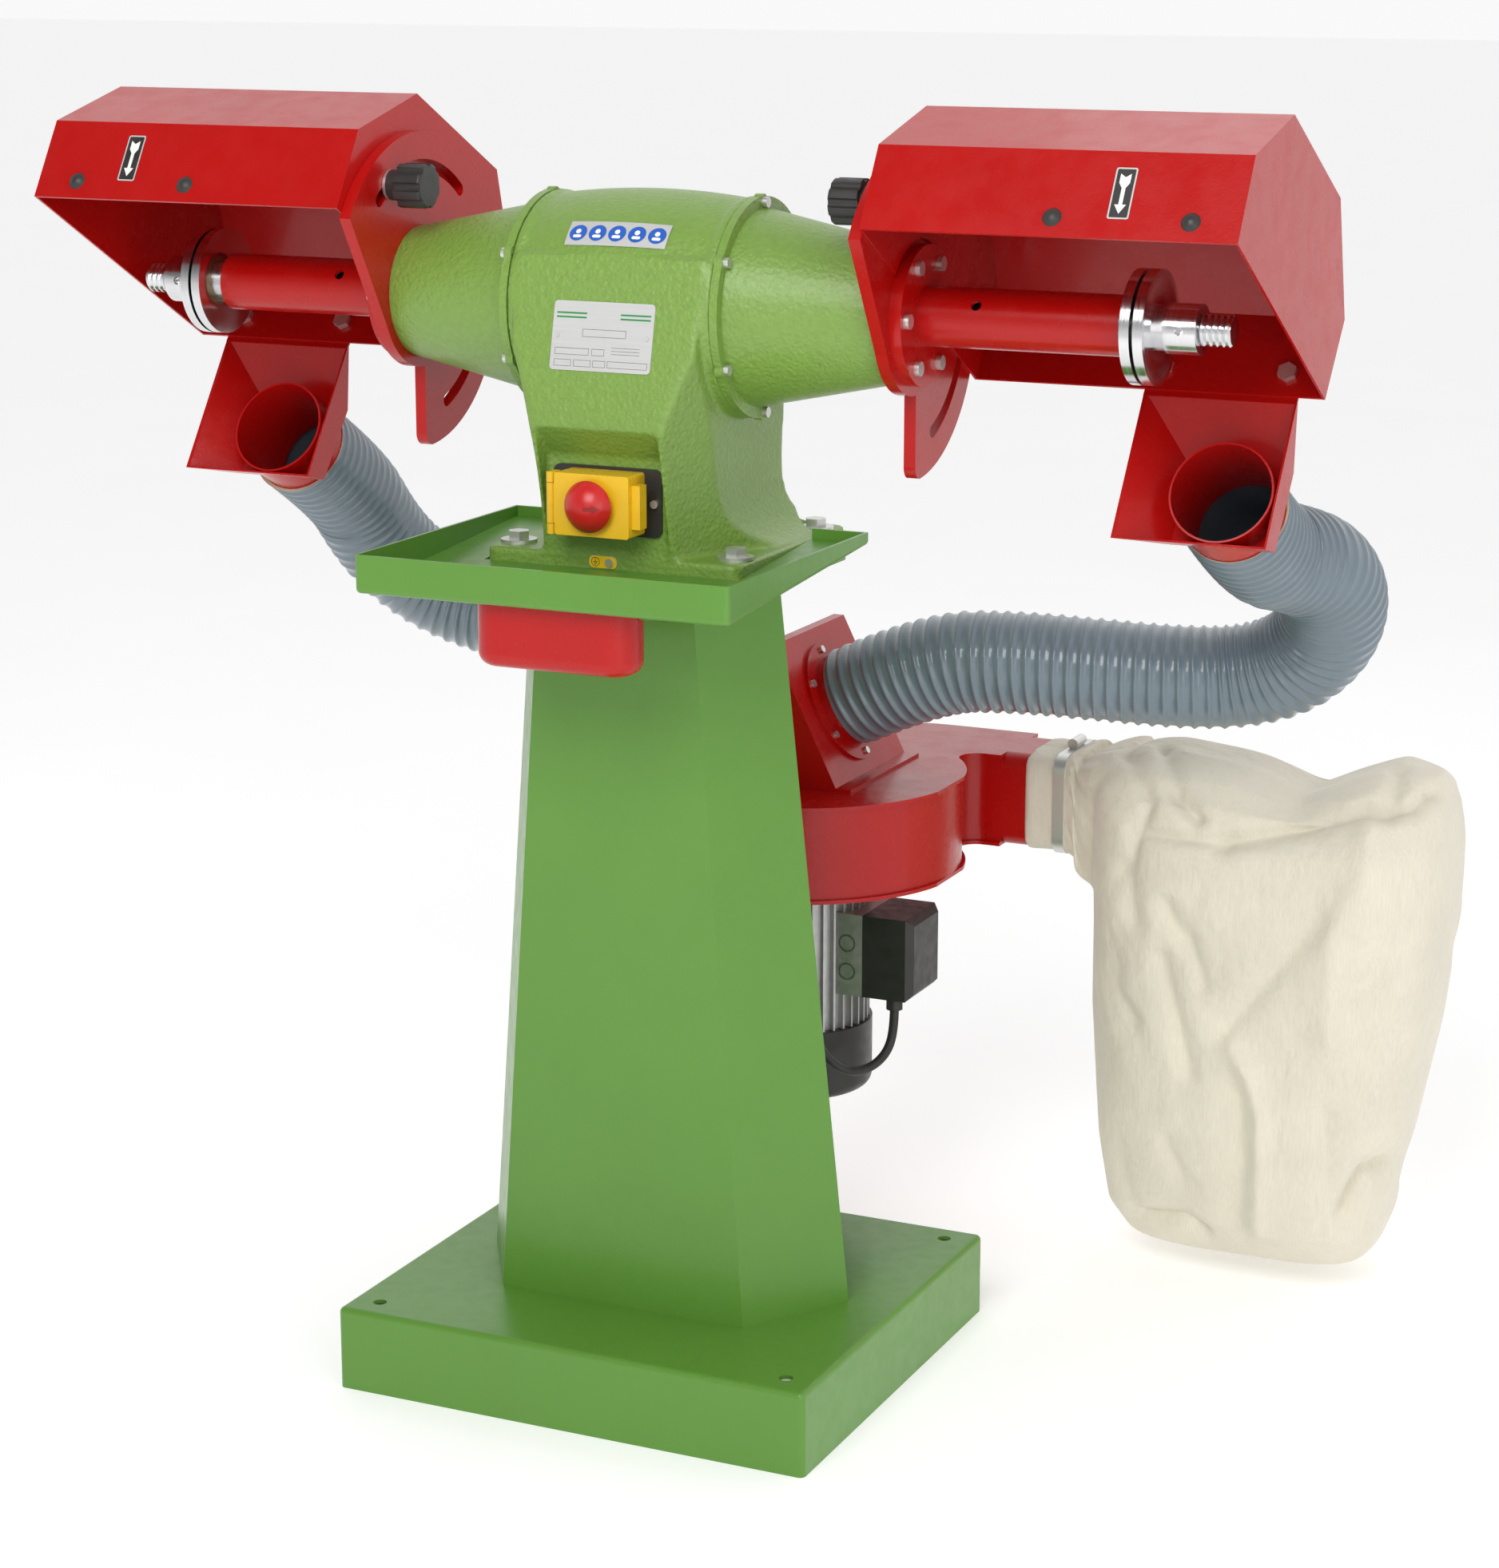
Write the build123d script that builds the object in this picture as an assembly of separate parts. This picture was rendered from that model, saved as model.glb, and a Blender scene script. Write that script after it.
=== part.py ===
from build123d import *
import math
import os

# Pedestal polishing machine with a dust extraction fan, in millimetres.
# X runs along the spindle, Y away from the worker, Z up.
# The origin is on the floor, under the plinth's middle.

# Shared clearances
running_clearance = 0.05
seat_clearance = 0.3
sliding_clearance = 0.5
screw_clearance = 0.4

# Plinth
plinth_width = 520
plinth_depth = 470
plinth_height = 87
plinth_sheet = 4
plinth_edge_radius = 6
plinth_lip = 46
anchor_spacing_x = 456
anchor_spacing_y = 410
anchor_hole = 14

# Column
column_height = 741
column_sheet = 5
column_foot_face = 274
column_top_face = 168
column_front = -110
column_foot_waist = 0
column_top_waist = -24
column_rear = 140
column_flank_slope = 0.62
column_back_slope = 0.56
cable_passage = 60

# Motor foot and its bolts
head_plate_thickness = 12
head_plate_inset = 2
foot_width = 275
foot_front = -121
foot_rear = 142
foot_thickness = 24
foot_corner_radius = 14
foot_bolt_spacing_x = 236
foot_bolt_spacing_y = 190
foot_bolt_middle = 10
foot_bolt_size = 12
foot_bolt_across_flats = 19
foot_bolt_head = 8
foot_washer_radius = 18
foot_washer_thickness = 3
foot_pocket_height = 46
foot_pocket_clearance = 3

# Drip tray, its runners and its pot
tray_width = 394
tray_front = -268
tray_rear = 54
tray_sheet = 3
tray_rim_above_foot = 10
tray_front_height = 38
tray_rear_height = 13
tray_corner_radius = 5
runner_sheet = 4
pot_width = 168
pot_front = -250
pot_depth = 56
pot_wall = 2
pot_height = 62
pot_flange = 7
pot_flange_thickness = 3
pot_corner_radius = 26
pot_floor_radius = 14
pot_top_below_tray = 2

# Motor housing
shaft_y = -16
shaft_above_foot = 233.5
barrel_half_length = 108
barrel_crown_radius = 110
barrel_end_radius = 102
barrel_bore = 90
end_ring_radius = 106
end_ring_width = 8
block_half_width = 101
block_top_above_shaft = 53
neck_half_width = 94
neck_above_foot = 80
neck_rear = 78
flare_inset = 8
panel_top_front = -113
chin_front = -149
chin_above_foot = 126
flank_half_width = 71
flank_slope = 0.45
flank_lean_at_chin = 11
flank_lean_at_top = 33
flank_top_above_foot = 214
recess_half_width = 65
recess_depth = 1
recess_roof_drop = 30
housing_wall = 16
flare_slope = 0.35
flare_bow_rise = 0.3
flare_bow_reach = 0.25

# End bells
bell_length = 154
bell_large_radius = 95
bell_small_radius = 65
bell_wall = 8
bell_bolt_circle = 100.5
bell_bolt_count = 6
bell_bolt_radius = 3
bell_lug_radius = 8

# Motor inside
stator_half_length = 55
stator_inner_radius = 56
winding_length = 26
winding_wall = 22
air_gap = 0.6
bearing_width = 23
bearing_outer_radius = 45
bearing_from_bell_end = 30
hub_wall = 9

# Sector plates
sector_thickness = 12
sector_disc_radius = 76
sector_radius = 158
sector_bore_radius = 30
sector_front_angle = 149
sector_tail_front = 2
sector_tip_radius = 12
slot_radius = 124
slot_half_width = 6.5
upper_slot_start = 50
lower_slot_start = -69
slot_sweep = 80
knob_stud_angle = 118.5

# Spindle tubes
tube_flange_radius = 67
tube_flange_thickness = 12
tube_radius = 28.5
tube_wall = 4
tube_length = 198
tube_screw_circle = 54
tube_screw_count = 6
tube_screw_radius = 4
tube_screw_head = 5
tube_screw_grip = 12
screw_head_share = 1.75
grease_hole_radius = 5
grease_hole_from_flange = 58
nose_bush_length = 24

# Spindle
motor_shaft_radius = 20
nose_shaft_radius = 17.5
end_shaft_radius = 15
thread_core_radius = 14
wheel_flange_radius = 53.5
wheel_flange_thickness = 9.5
wheel_gap = 3.3
wheel_flange_boss = 9
wheel_flange_boss_radius = 21
wheel_flange_dish = 3
nut_radius = 23.5
nut_length = 31
nut_bar_hole = 4
thread_pitch = 6
thread_depth = 2.2
free_turns = 5
thread_rise_end = 0.3
thread_crest_end = 0.6
thread_fall_end = 0.9

# Hoods: corners of the side outline, as (back from the spindle, up from the spindle)
hood_lip = (-139, 91.5)
hood_brow = (-95, 164.5)
hood_crown = (19, 193.5)
hood_back = (180, 108.5)
hood_heel = (211, -8.5)
hood_hem = (154, -78.5)
hood_length = 355
hood_sheet = 2.5
hood_mouth_clearance = 5
stud_radius = 6
stud_head_radius = 12
stud_head = 5
plug_radius = 9
plug_height = 5
plug_spacing = 128
plug_from_brow = 0.78
plug_from_hood_end = 110
stud_nut_length = 12
stud_nut_across_flats = 19

# Chutes: corners of the side outline, as (back from the spindle, up from the spindle)
chute_lip = (64, -209.5)
chute_heel = (96, -217.5)
chute_back = (148, -149.5)
chute_width = 153
chute_outlet_width = 103
chute_sheet = 2
chute_flange = 42
right_chute_start = 450
left_chute_start = -597
pipe_outer_radius = 51
pipe_wall = 2
pipe_length = 105
pipe_pitch = 30
pipe_mouth = (93, -163.5)
pipe_from_chute_side = 54
chute_bolt_inset = 15
chute_bolt_rise = 25
chute_bolt_radius = 5
chute_bolt_across_flats = 17
chute_bolt_head = 6
chute_bolt_nut = 8

# Knobs
knob_radius = 22
knob_lobes = 8
knob_lobe_radius = 5
knob_length = 30
knob_hub_radius = 15
knob_hub_length = 12
knob_washer_radius = 15
knob_washer_thickness = 3

# Switch
switch_x = 0
switch_above_foot = 54
switch_plate_width = 116
switch_plate_height = 66
switch_plate_thickness = 3
switch_plate_corner = 8
switch_box_width = 80
switch_box_height = 60
switch_box_depth = 28
switch_wall = 3
switch_edge_radius = 3
switch_panel_depth = 16
switch_latch_reach = 9
switch_latch_depth = 14
switch_latch_height = 42
flap_thickness = 6
hinge_offset = 5
hinge_pin_radius = 1.5
hinge_barrel_radius = 4
hinge_ear_height = 10
button_radius = 10
button_spacing = 34
button_length = 9
button_proud = 4
mushroom_radius = 25
mushroom_height = 16
mushroom_lift = 7
mushroom_stem_radius = 8
mushroom_stem_inside = 3

# Small plates on the housing
rating_plate_width = 107
rating_plate_height = 66
rating_plate_thickness = 1
rating_plate_corner = 4
rating_plate_below_shaft = 22
rivet_radius = 2
earth_tag_width = 30
earth_tag_height = 12
earth_tag_thickness = 1
earth_tag_x = -6
small_screw_radius = 4
small_screw_head = 3

# Fan
fan_y = 328
fan_above_plinth = 364
fan_height = 105
fan_radius = 180
fan_sheet = 3
fan_plate = 4
fan_bead = 4
tongue_radius = 25
duct_front = 480
duct_rear = 590
duct_end = 265
duct_corner_radius = 18
duct_corner_start = 180
impeller_radius = 150
impeller_clearance = 12
impeller_eye_radius = 60
impeller_blades = 10
impeller_blade_thickness = 3
impeller_hub_radius = 22
fan_shaft_radius = 9.5
bracket_width = 106
bracket_sheet = 6
bracket_drop = 110
bracket_reach = 110

# Inlet plenum and its hose spigots
plenum_front = 245
plenum_rear = 435
plenum_half_width = 82
plenum_ridge_half_width = 6
plenum_height = 152
plenum_sheet = 3
plenum_flange = 16
spigot_up_plenum = 76
spigot_y = 340
spigot_flange_radius = 68
spigot_flange_thickness = 4
spigot_length = 58
spigot_wall = 2
spigot_screw_circle = 60
spigot_screw_count = 6

# Fan motor
fan_motor_radius = 72
fan_motor_fin = 8
fan_motor_fin_thickness = 2.4
fan_motor_fins = 40
fan_motor_wall = 10
fan_motor_length = 188
fan_cowl_length = 78
fan_cowl_radius = 83
fan_cowl_wall = 2.5
fan_cowl_lap = 12
fan_cowl_edge_radius = 12
terminal_width = 84
terminal_height = 92
terminal_depth = 23
terminal_lid_depth = 58
terminal_lid_chamfer = 7.5
terminal_below_fan = 42
gland_radius = 9
column_gland_x = 70
column_gland_z = 360

# Dust bag and its band
sleeve_wall = 3
sleeve_start = 206
sleeve_end = 300
clamp_width = 13
clamp_thickness = 1.2
clamp_from_sleeve_start = 36
clamp_screw_length = 30
clamp_screw_radius = 6
bag_left = 282
bag_right = 694
bag_bottom = 30
bag_top = 588
bag_middle_y = 505
bag_depth = 250
bag_corner_share = 0.45
# Each level of the bag, as a share of its height and a share of its full width
bag_levels = [(0, 0.55), (0.11, 0.86), (0.45, 0.97), (0.71, 1), (0.93, 0.9), (1, 0.6)]

# Hoses and cable: routes chosen by hand, from the fan to the chutes and from the motor to the column
hose_outer_radius = 55
hose_root_radius = 52.6
hose_rib_pitch = 14
hose_rib_rise_end = 0.3
hose_rib_crest_end = 0.55
hose_rib_fall_end = 0.85
hose_seam = (0, 0.5, 0.87)
right_hose_route = [
    (56, 340, 638), (155, 340, 687), (250, 350, 692), (335, 366, 688), (414, 384, 684), (474, 406, 685),
    (529, 409, 703), (569, 395, 742), (587, 361, 788), (584, 311, 826), (563, 262, 843), (549, 216, 854),
    (549, 120, 909),
]
left_hose_route = [
    (-56, 340, 638), (-155, 340, 687), (-250, 342, 692), (-330, 340, 695), (-395, 334, 704),
    (-447, 320, 724), (-482, 296, 757), (-497, 262, 800), (-498, 216, 854), (-498, 120, 909),
]
cable_radius = 5
bend_share = 0.45
cable_route = [
    (128, 300, 304), (128, 299, 276), (123, 287, 253), (111, 264, 242), (97, 238, 246), (84, 213, 268),
    (76, 196, 302), (71, 186, 338), (70, 170, 359), (70, 150, 360),
]

# Levels and places worked out from the sizes above
column_top = plinth_height + column_height
head_top = column_top + head_plate_thickness
foot_top = head_top + foot_thickness
shaft_z = foot_top + shaft_above_foot
bell_end = barrel_half_length + bell_length
tube_start = bell_end + sector_thickness
tube_end = tube_start + tube_flange_thickness + tube_length
flange_face = tube_end + sliding_clearance + wheel_flange_boss
outer_flange_start = flange_face + wheel_flange_thickness + wheel_gap
nut_start = outer_flange_start + wheel_flange_thickness + wheel_flange_boss
nut_end = nut_start + nut_length
shaft_end = nut_end + free_turns * thread_pitch
hood_start = tube_start + seat_clearance
hood_end = hood_start + hood_length
fan_bottom = plinth_height + fan_above_plinth
fan_top = fan_bottom + fan_height
chin_z = foot_top + chin_above_foot
block_top = shaft_z + block_top_above_shaft
recess_back = foot_front + recess_depth
cavity_front = foot_front + (neck_half_width - flank_half_width) / flank_slope
switch_z = foot_top + switch_above_foot
rear_stud_angle = knob_stud_angle - upper_slot_start + lower_slot_start

ON_FLOOR = (Align.CENTER, Align.CENTER, Align.MIN)
FROM_CORNER = (Align.MIN, Align.MIN, Align.MIN)

os.makedirs("parts", exist_ok=True)


def save(name, *pieces):
    """Write one node, with each of its pieces as a separate solid."""
    solids = [solid for piece in pieces for solid in piece.solids()]
    export_step(Compound(solids), f"parts/{name}.step")


def block(x_limits, y_limits, z_limits):
    """A box between limits on X, Y and Z."""
    limits = (x_limits, y_limits, z_limits)
    corner = [low for low, high in limits]
    return Pos(*corner) * Box(*[high - low for low, high in limits], align=FROM_CORNER)


def rod(start, end, radius):
    """A round bar between two points."""
    along = Vector(*end) - Vector(*start)
    return Plane(origin=start, z_dir=along) * Cylinder(radius, along.length, align=ON_FLOOR)


def pipe(start, end, outer, inner):
    """A round pipe between two points."""
    return rod(start, end, outer) - rod(start, end, inner)


def spindle_rod(start, end, radius):
    """A round bar on the spindle axis."""
    return rod((start, shaft_y, shaft_z), (end, shaft_y, shaft_z), radius)


def spindle_pipe(start, end, outer, inner):
    """A round pipe on the spindle axis."""
    return spindle_rod(start, end, outer) - spindle_rod(start, end, inner)


def turned(*outline):
    """A solid turned about the spindle axis from (x, radius) corners."""
    plane = Plane(origin=(0, shaft_y, shaft_z), x_dir=(1, 0, 0), z_dir=(0, -1, 0))
    return revolve(plane * Polygon(*outline, align=None), axis=Axis((0, shaft_y, shaft_z), (1, 0, 0)))


def side_plane(x):
    """The plane at x in which points are (Y, Z)."""
    return Plane(origin=(x, 0, 0), x_dir=(0, 1, 0), z_dir=(1, 0, 0))


def side_plate(outline, x_limits):
    """A plate with a (Y, Z) outline between two limits on X."""
    face = side_plane(x_limits[0]) * Polygon(*outline, align=None)
    return extrude(face, x_limits[1] - x_limits[0], dir=(1, 0, 0))


def from_spindle(point):
    """The (Y, Z) place of a point given from the spindle axis."""
    return (shaft_y + point[0], shaft_z + point[1])


def on_circle(radius, angle):
    """The point at a radius and an angle in degrees."""
    return (radius * math.cos(math.radians(angle)), radius * math.sin(math.radians(angle)))


def inset_line(points, distance):
    """The corners of an open line moved sideways, to its right, by a distance."""
    steps = [Vector(*b) - Vector(*a) for a, b in zip(points, points[1:])]
    normals = [Vector(step.Y, -step.X).normalized() for step in steps]
    pairs = zip([normals[0]] + normals, normals + [normals[-1]])
    moves = [(a + b) * (distance / (1 + a.dot(b))) for a, b in pairs]
    return [(point[0] + move.X, point[1] + move.Y) for point, move in zip(points, moves)]


def bent_sheet(points, thickness):
    """The outline of a folded sheet, whose outer face follows the points."""
    return points + inset_line(points, thickness)[::-1]


def hexagon(start, end, across_flats):
    """A six-sided bar between two points."""
    along = Vector(*end) - Vector(*start)
    section = RegularPolygon(across_flats / 2, 6, major_radius=False)
    return Plane(origin=start, z_dir=along) * extrude(section, along.length)


def hexagon_bolt(place, across_flats, head, washer_radius, washer, size, length):
    """A hexagon bolt standing on its washer at a place, with its shank below."""
    x, y, z = place
    bolt = hexagon((x, y, z + washer), (x, y, z + washer + head), across_flats)
    bolt += rod((x, y, z + washer), (x, y, z - length), size / 2)
    ring = pipe((x, y, z), (x, y, z + washer), washer_radius, size / 2 + screw_clearance)
    return [bolt, ring]


def screw(place, direction, radius, head, head_radius, length):
    """A pan head screw, with its head standing along a direction and its shank behind it."""
    place = Vector(*place)
    direction = Vector(*direction).normalized()
    top = rod(place, (place + direction * head), head_radius)
    return top + rod((place - direction * length), (place + direction * head), radius)


def base_plinth():
    """The folded plinth: a tray upside down, with a lip to stand on and holes for four floor anchors."""
    half_x = plinth_width / 2
    half_y = plinth_depth / 2
    body = block((-half_x, half_x), (-half_y, half_y), (0, plinth_height))
    top_edges = body.faces().sort_by(Axis.Z)[-1].edges()
    body = fillet(body.edges().filter_by(Axis.Z) + top_edges, plinth_edge_radius)
    inner_x = half_x - plinth_sheet
    inner_y = half_y - plinth_sheet
    body -= block((-inner_x, inner_x), (-inner_y, inner_y), (plinth_sheet, plinth_height - plinth_sheet))
    lip_x = half_x - plinth_lip
    lip_y = half_y - plinth_lip
    body -= block((-lip_x, lip_x), (-lip_y, lip_y), (0, plinth_sheet))
    for x in (-anchor_spacing_x / 2, anchor_spacing_x / 2):
        for y in (-anchor_spacing_y / 2, anchor_spacing_y / 2):
            body -= rod((x, y, 0), (x, y, plinth_height), anchor_hole / 2)
    return body


def column_section(face_width, waist_depth, z, inset):
    """The column's six-sided section at a height, drawn in by the sheet where asked."""
    face = face_width / 2
    waist = face + column_flank_slope * (waist_depth - column_front)
    back = waist - column_back_slope * (column_rear - waist_depth)
    corners = [
        (-face, column_front), (face, column_front), (waist, waist_depth),
        (back, column_rear), (-back, column_rear), (-waist, waist_depth),
    ]
    section = Polygon(*corners, align=None)
    if inset:
        section = offset(section, -inset, kind=Kind.INTERSECTION)
    return Pos(0, 0, z) * section


def column_sheets():
    """The front and rear sheets of the column, which meet along its two widest edges."""
    skins = []
    for inset in (0, column_sheet):
        foot = column_section(column_foot_face, column_foot_waist, plinth_height, inset)
        top = column_section(column_top_face, column_top_waist, column_top, inset)
        skins.append(loft([foot.faces()[0], top.faces()[0]]))
    shell = skins[0] - skins[1]
    half = plinth_width / 2
    waist_line = [(column_foot_waist, plinth_height), (column_top_waist, column_top)]
    ahead = waist_line + [(column_front, column_top), (column_front, plinth_height)]
    behind = waist_line + [(column_rear, column_top), (column_rear, plinth_height)]
    front = shell & side_plate(ahead, (-half, half))
    rear = shell & side_plate(behind, (-half, half))
    gland_end = (column_gland_x, column_rear, column_gland_z)
    rear -= rod(gland_end, (column_gland_x, column_rear - column_sheet * 2, column_gland_z), gland_radius)
    return front, rear


def foot_bolt_places(z):
    """The four places of the motor foot's bolts at a height."""
    half_x = foot_bolt_spacing_x / 2
    half_y = foot_bolt_spacing_y / 2
    return [(x, foot_bolt_middle + y, z) for x in (-half_x, half_x) for y in (-half_y, half_y)]


def head_plate():
    """The plate on top of the column, threaded for the foot bolts and open for the motor's cables."""
    half = foot_width / 2 - head_plate_inset
    y_limits = (foot_front + head_plate_inset, foot_rear - head_plate_inset)
    plate = block((-half, half), y_limits, (column_top, head_top))
    middle = (foot_front + foot_rear) / 2
    plate -= rod((0, middle, column_top), (0, middle, head_top), cable_passage / 2)
    for x, y, z in foot_bolt_places(head_top):
        plate -= rod((x, y, column_top), (x, y, z), foot_bolt_size / 2 + running_clearance)
    return plate


def tray_floor(y):
    """The height of the tray's underside at a depth Y: it falls towards the worker."""
    rim = foot_top + tray_rim_above_foot
    share = (y - tray_front) / (tray_rear - tray_front)
    return rim - tray_front_height + share * (tray_front_height - tray_rear_height)


def drip_tray():
    """The open tray round the motor foot, with a floor that slopes to the front."""
    rim = foot_top + tray_rim_above_foot
    half = tray_width / 2
    outline = [(tray_front, tray_floor(tray_front)), (tray_rear, tray_floor(tray_rear))]
    outline += [(tray_rear, rim), (tray_front, rim)]
    body = side_plate(outline, (-half, half))
    front_edges = body.edges().filter_by(Axis.Z).sort_by(Axis.Y)[:2]
    bottom_edges = body.faces().sort_by(Axis.Z)[0].edges()
    body = fillet(front_edges + bottom_edges, tray_corner_radius)
    inner = [(tray_front + tray_sheet, tray_floor(tray_front + tray_sheet) + tray_sheet)]
    inner += [(tray_rear - tray_sheet, tray_floor(tray_rear - tray_sheet) + tray_sheet)]
    inner += [(tray_rear - tray_sheet, rim), (tray_front + tray_sheet, rim)]
    body -= side_plate(inner, (tray_sheet - half, half - tray_sheet))
    gap = foot_width / 2 + seat_clearance
    body -= block((-gap, gap), (foot_front - seat_clearance, tray_rear), (column_top, rim))
    return body


def pot_flange_top():
    """The height of the pot's rim."""
    return tray_floor(tray_front) - pot_top_below_tray


def pot_runners():
    """Two angle runners between the column and the tray, which also carry the tray's front."""
    inner = pot_width / 2 + pot_flange + sliding_clearance
    seat = pot_flange_top() - pot_flange_thickness - sliding_clearance
    front = pot_front + pot_corner_radius
    low = seat - runner_sheet
    step = foot_front - sliding_clearance
    outline = [(front, low), (column_front, low), (column_front, column_top - sliding_clearance)]
    outline += [(step, column_top - sliding_clearance), (step, tray_floor(step))]
    outline += [(front, tray_floor(front))]
    wall = side_plate(outline, (inner, inner + runner_sheet))
    lip = block((pot_width / 2 + sliding_clearance, inner), (front, step), (low, seat))
    right = wall + lip
    return right, mirror(right, about=Plane.YZ)


def pot_form(inset, top):
    """The pot's rounded form, drawn in by the wall where asked and cut off at a height."""
    half = pot_width / 2 - inset
    floor = pot_flange_top() - pot_height + inset
    body = block((-half, half), (pot_front + inset, pot_front + pot_depth - inset), (floor, top))
    body = fillet(body.edges().filter_by(Axis.Z), pot_corner_radius - inset)
    return fillet(body.faces().sort_by(Axis.Z)[0].edges(), pot_floor_radius - inset)


def drip_pot():
    """The pull-out pot, hung by its side flanges on the runners."""
    top = pot_flange_top()
    wing = pot_width / 2 + pot_flange
    y_limits = (pot_front + pot_corner_radius, pot_front + pot_depth)
    rim = block((-wing, wing), y_limits, (top - pot_flange_thickness, top))
    return pot_form(0, top) + rim - pot_form(pot_wall, top)


def flare(foot_reach, neck_reach):
    """The hollow curve of a casting that spreads to its foot, from (across, up) the foot to the neck."""
    spread = foot_reach - neck_reach
    foot_end = (foot_reach, foot_top)
    neck_end = (neck_reach, foot_top + neck_above_foot)
    bow = (neck_reach + spread * flare_bow_reach, foot_top + neck_above_foot * flare_bow_rise)
    return Spline(foot_end, bow, neck_end, tangents=[(-1, flare_slope), (0, 1)]), foot_end, neck_end


def flank_cut():
    """What is cut from the neck's right front, so that its flank runs back and outwards from the panel."""
    along = Vector(flank_slope, 1, 0).normalized()
    outward = Vector(along.Y, -along.X, 0)
    plane = Plane(origin=(flank_half_width, foot_front, 0), x_dir=outward, z_dir=-along)
    foot_end = (0, foot_top)
    top_end = (flank_lean_at_top, foot_top + flank_top_above_foot)
    curve = Spline(foot_end, (flank_lean_at_chin, chin_z), top_end)
    rest = Polyline(top_end, (foot_width, top_end[1]), (foot_width, foot_top), foot_end)
    return extrude(plane * make_face([curve, rest]), foot_width, both=True)


def neck():
    """The neck between the foot and the barrel, spread towards the foot, with a panel that leans out to a chin."""
    side, side_foot, side_neck = flare(foot_width / 2 - flare_inset, neck_half_width)
    upper = (block_half_width, block_top)
    side_lines = [side, Line(side_neck, upper), Line(upper, (0, block_top))]
    side_lines += [Line((0, block_top), (0, foot_top)), Line((0, foot_top), side_foot)]
    front_view = Plane(origin=(0, 0, 0), x_dir=(1, 0, 0), z_dir=(0, -1, 0))
    half = extrude(front_view * make_face(side_lines), foot_width, both=True)
    rear, rear_foot, rear_neck = flare(foot_rear - flare_inset, neck_rear)
    corners = [rear_neck, (neck_rear, shaft_z), (shaft_y, block_top), (panel_top_front, block_top)]
    corners += [(chin_front, chin_z), (foot_front, foot_top), rear_foot]
    side_view = extrude(side_plane(0) * make_face([rear, Polyline(*corners)]), foot_width, dir=(1, 0, 0))
    half &= side_view
    half -= flank_cut()
    return half + mirror(half, about=Plane.YZ)


def motor_housing():
    """The cast housing: foot, neck with the switch recess, crowned barrel and end rings."""
    plane = Plane(origin=(0, shaft_y, shaft_z), x_dir=(1, 0, 0), z_dir=(0, -1, 0))
    left_rim = (-barrel_half_length, barrel_end_radius)
    right_rim = (barrel_half_length, barrel_end_radius)
    crown = ThreePointArc(left_rim, (0, barrel_crown_radius), right_rim)
    base = Polyline(right_rim, (barrel_half_length, 0), (-barrel_half_length, 0), left_rim)
    barrel = revolve(plane * make_face([crown, base]), axis=Axis((0, shaft_y, shaft_z), (1, 0, 0)))
    foot = block((-foot_width / 2, foot_width / 2), (foot_front, foot_rear), (head_top, foot_top))
    foot = fillet(foot.edges().filter_by(Axis.Z), foot_corner_radius)
    body = barrel + neck() + foot
    ring_start = barrel_half_length - end_ring_width
    for side in (-1, 1):
        body += spindle_rod(side * ring_start, side * barrel_half_length, end_ring_radius)
    body -= spindle_rod(-barrel_half_length, barrel_half_length, barrel_bore)
    proud = chin_front - barrel_crown_radius
    ahead = [(chin_front, chin_z), (panel_top_front, block_top), (proud, block_top), (proud, chin_z)]
    body -= side_plate(ahead, (-block_half_width, block_half_width))
    inside = neck_half_width - housing_wall
    body -= block((-inside, inside), (cavity_front, neck_rear - housing_wall), (head_top, shaft_z))
    recess = [(chin_front, foot_top), (recess_back, foot_top)]
    recess += [(recess_back, chin_z - recess_roof_drop), (chin_front, chin_z)]
    body -= side_plate(recess, (-recess_half_width, recess_half_width))
    for x, y, z in foot_bolt_places(foot_top):
        body -= rod((x, y, head_top), (x, y, z), foot_bolt_size / 2 + screw_clearance)
        body -= rod((x, y, z), (x, y, z + foot_pocket_height), foot_washer_radius + foot_pocket_clearance)
    opening = (switch_plate_height - switch_plate_corner * 2) / 2
    wall_limits = (recess_back, cavity_front)
    z_limits = (switch_z - opening, switch_z + opening)
    body -= block((switch_x - opening, switch_x + opening), wall_limits, z_limits)
    for side in (-1, 1):
        for x, y, z in bell_bolt_places(barrel_half_length):
            hole_end = barrel_half_length - end_ring_width * 2
            body -= rod((side * x, y, z), (side * hole_end, y, z), bell_bolt_radius + running_clearance)
    return body


def bell_bolt_places(x):
    """The places of the bolts round an end bell's flange."""
    step = 360 / bell_bolt_count
    angles = [step * (index + 0.5) for index in range(bell_bolt_count)]
    return [(x, *from_spindle(on_circle(bell_bolt_circle, angle))) for angle in angles]


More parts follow.
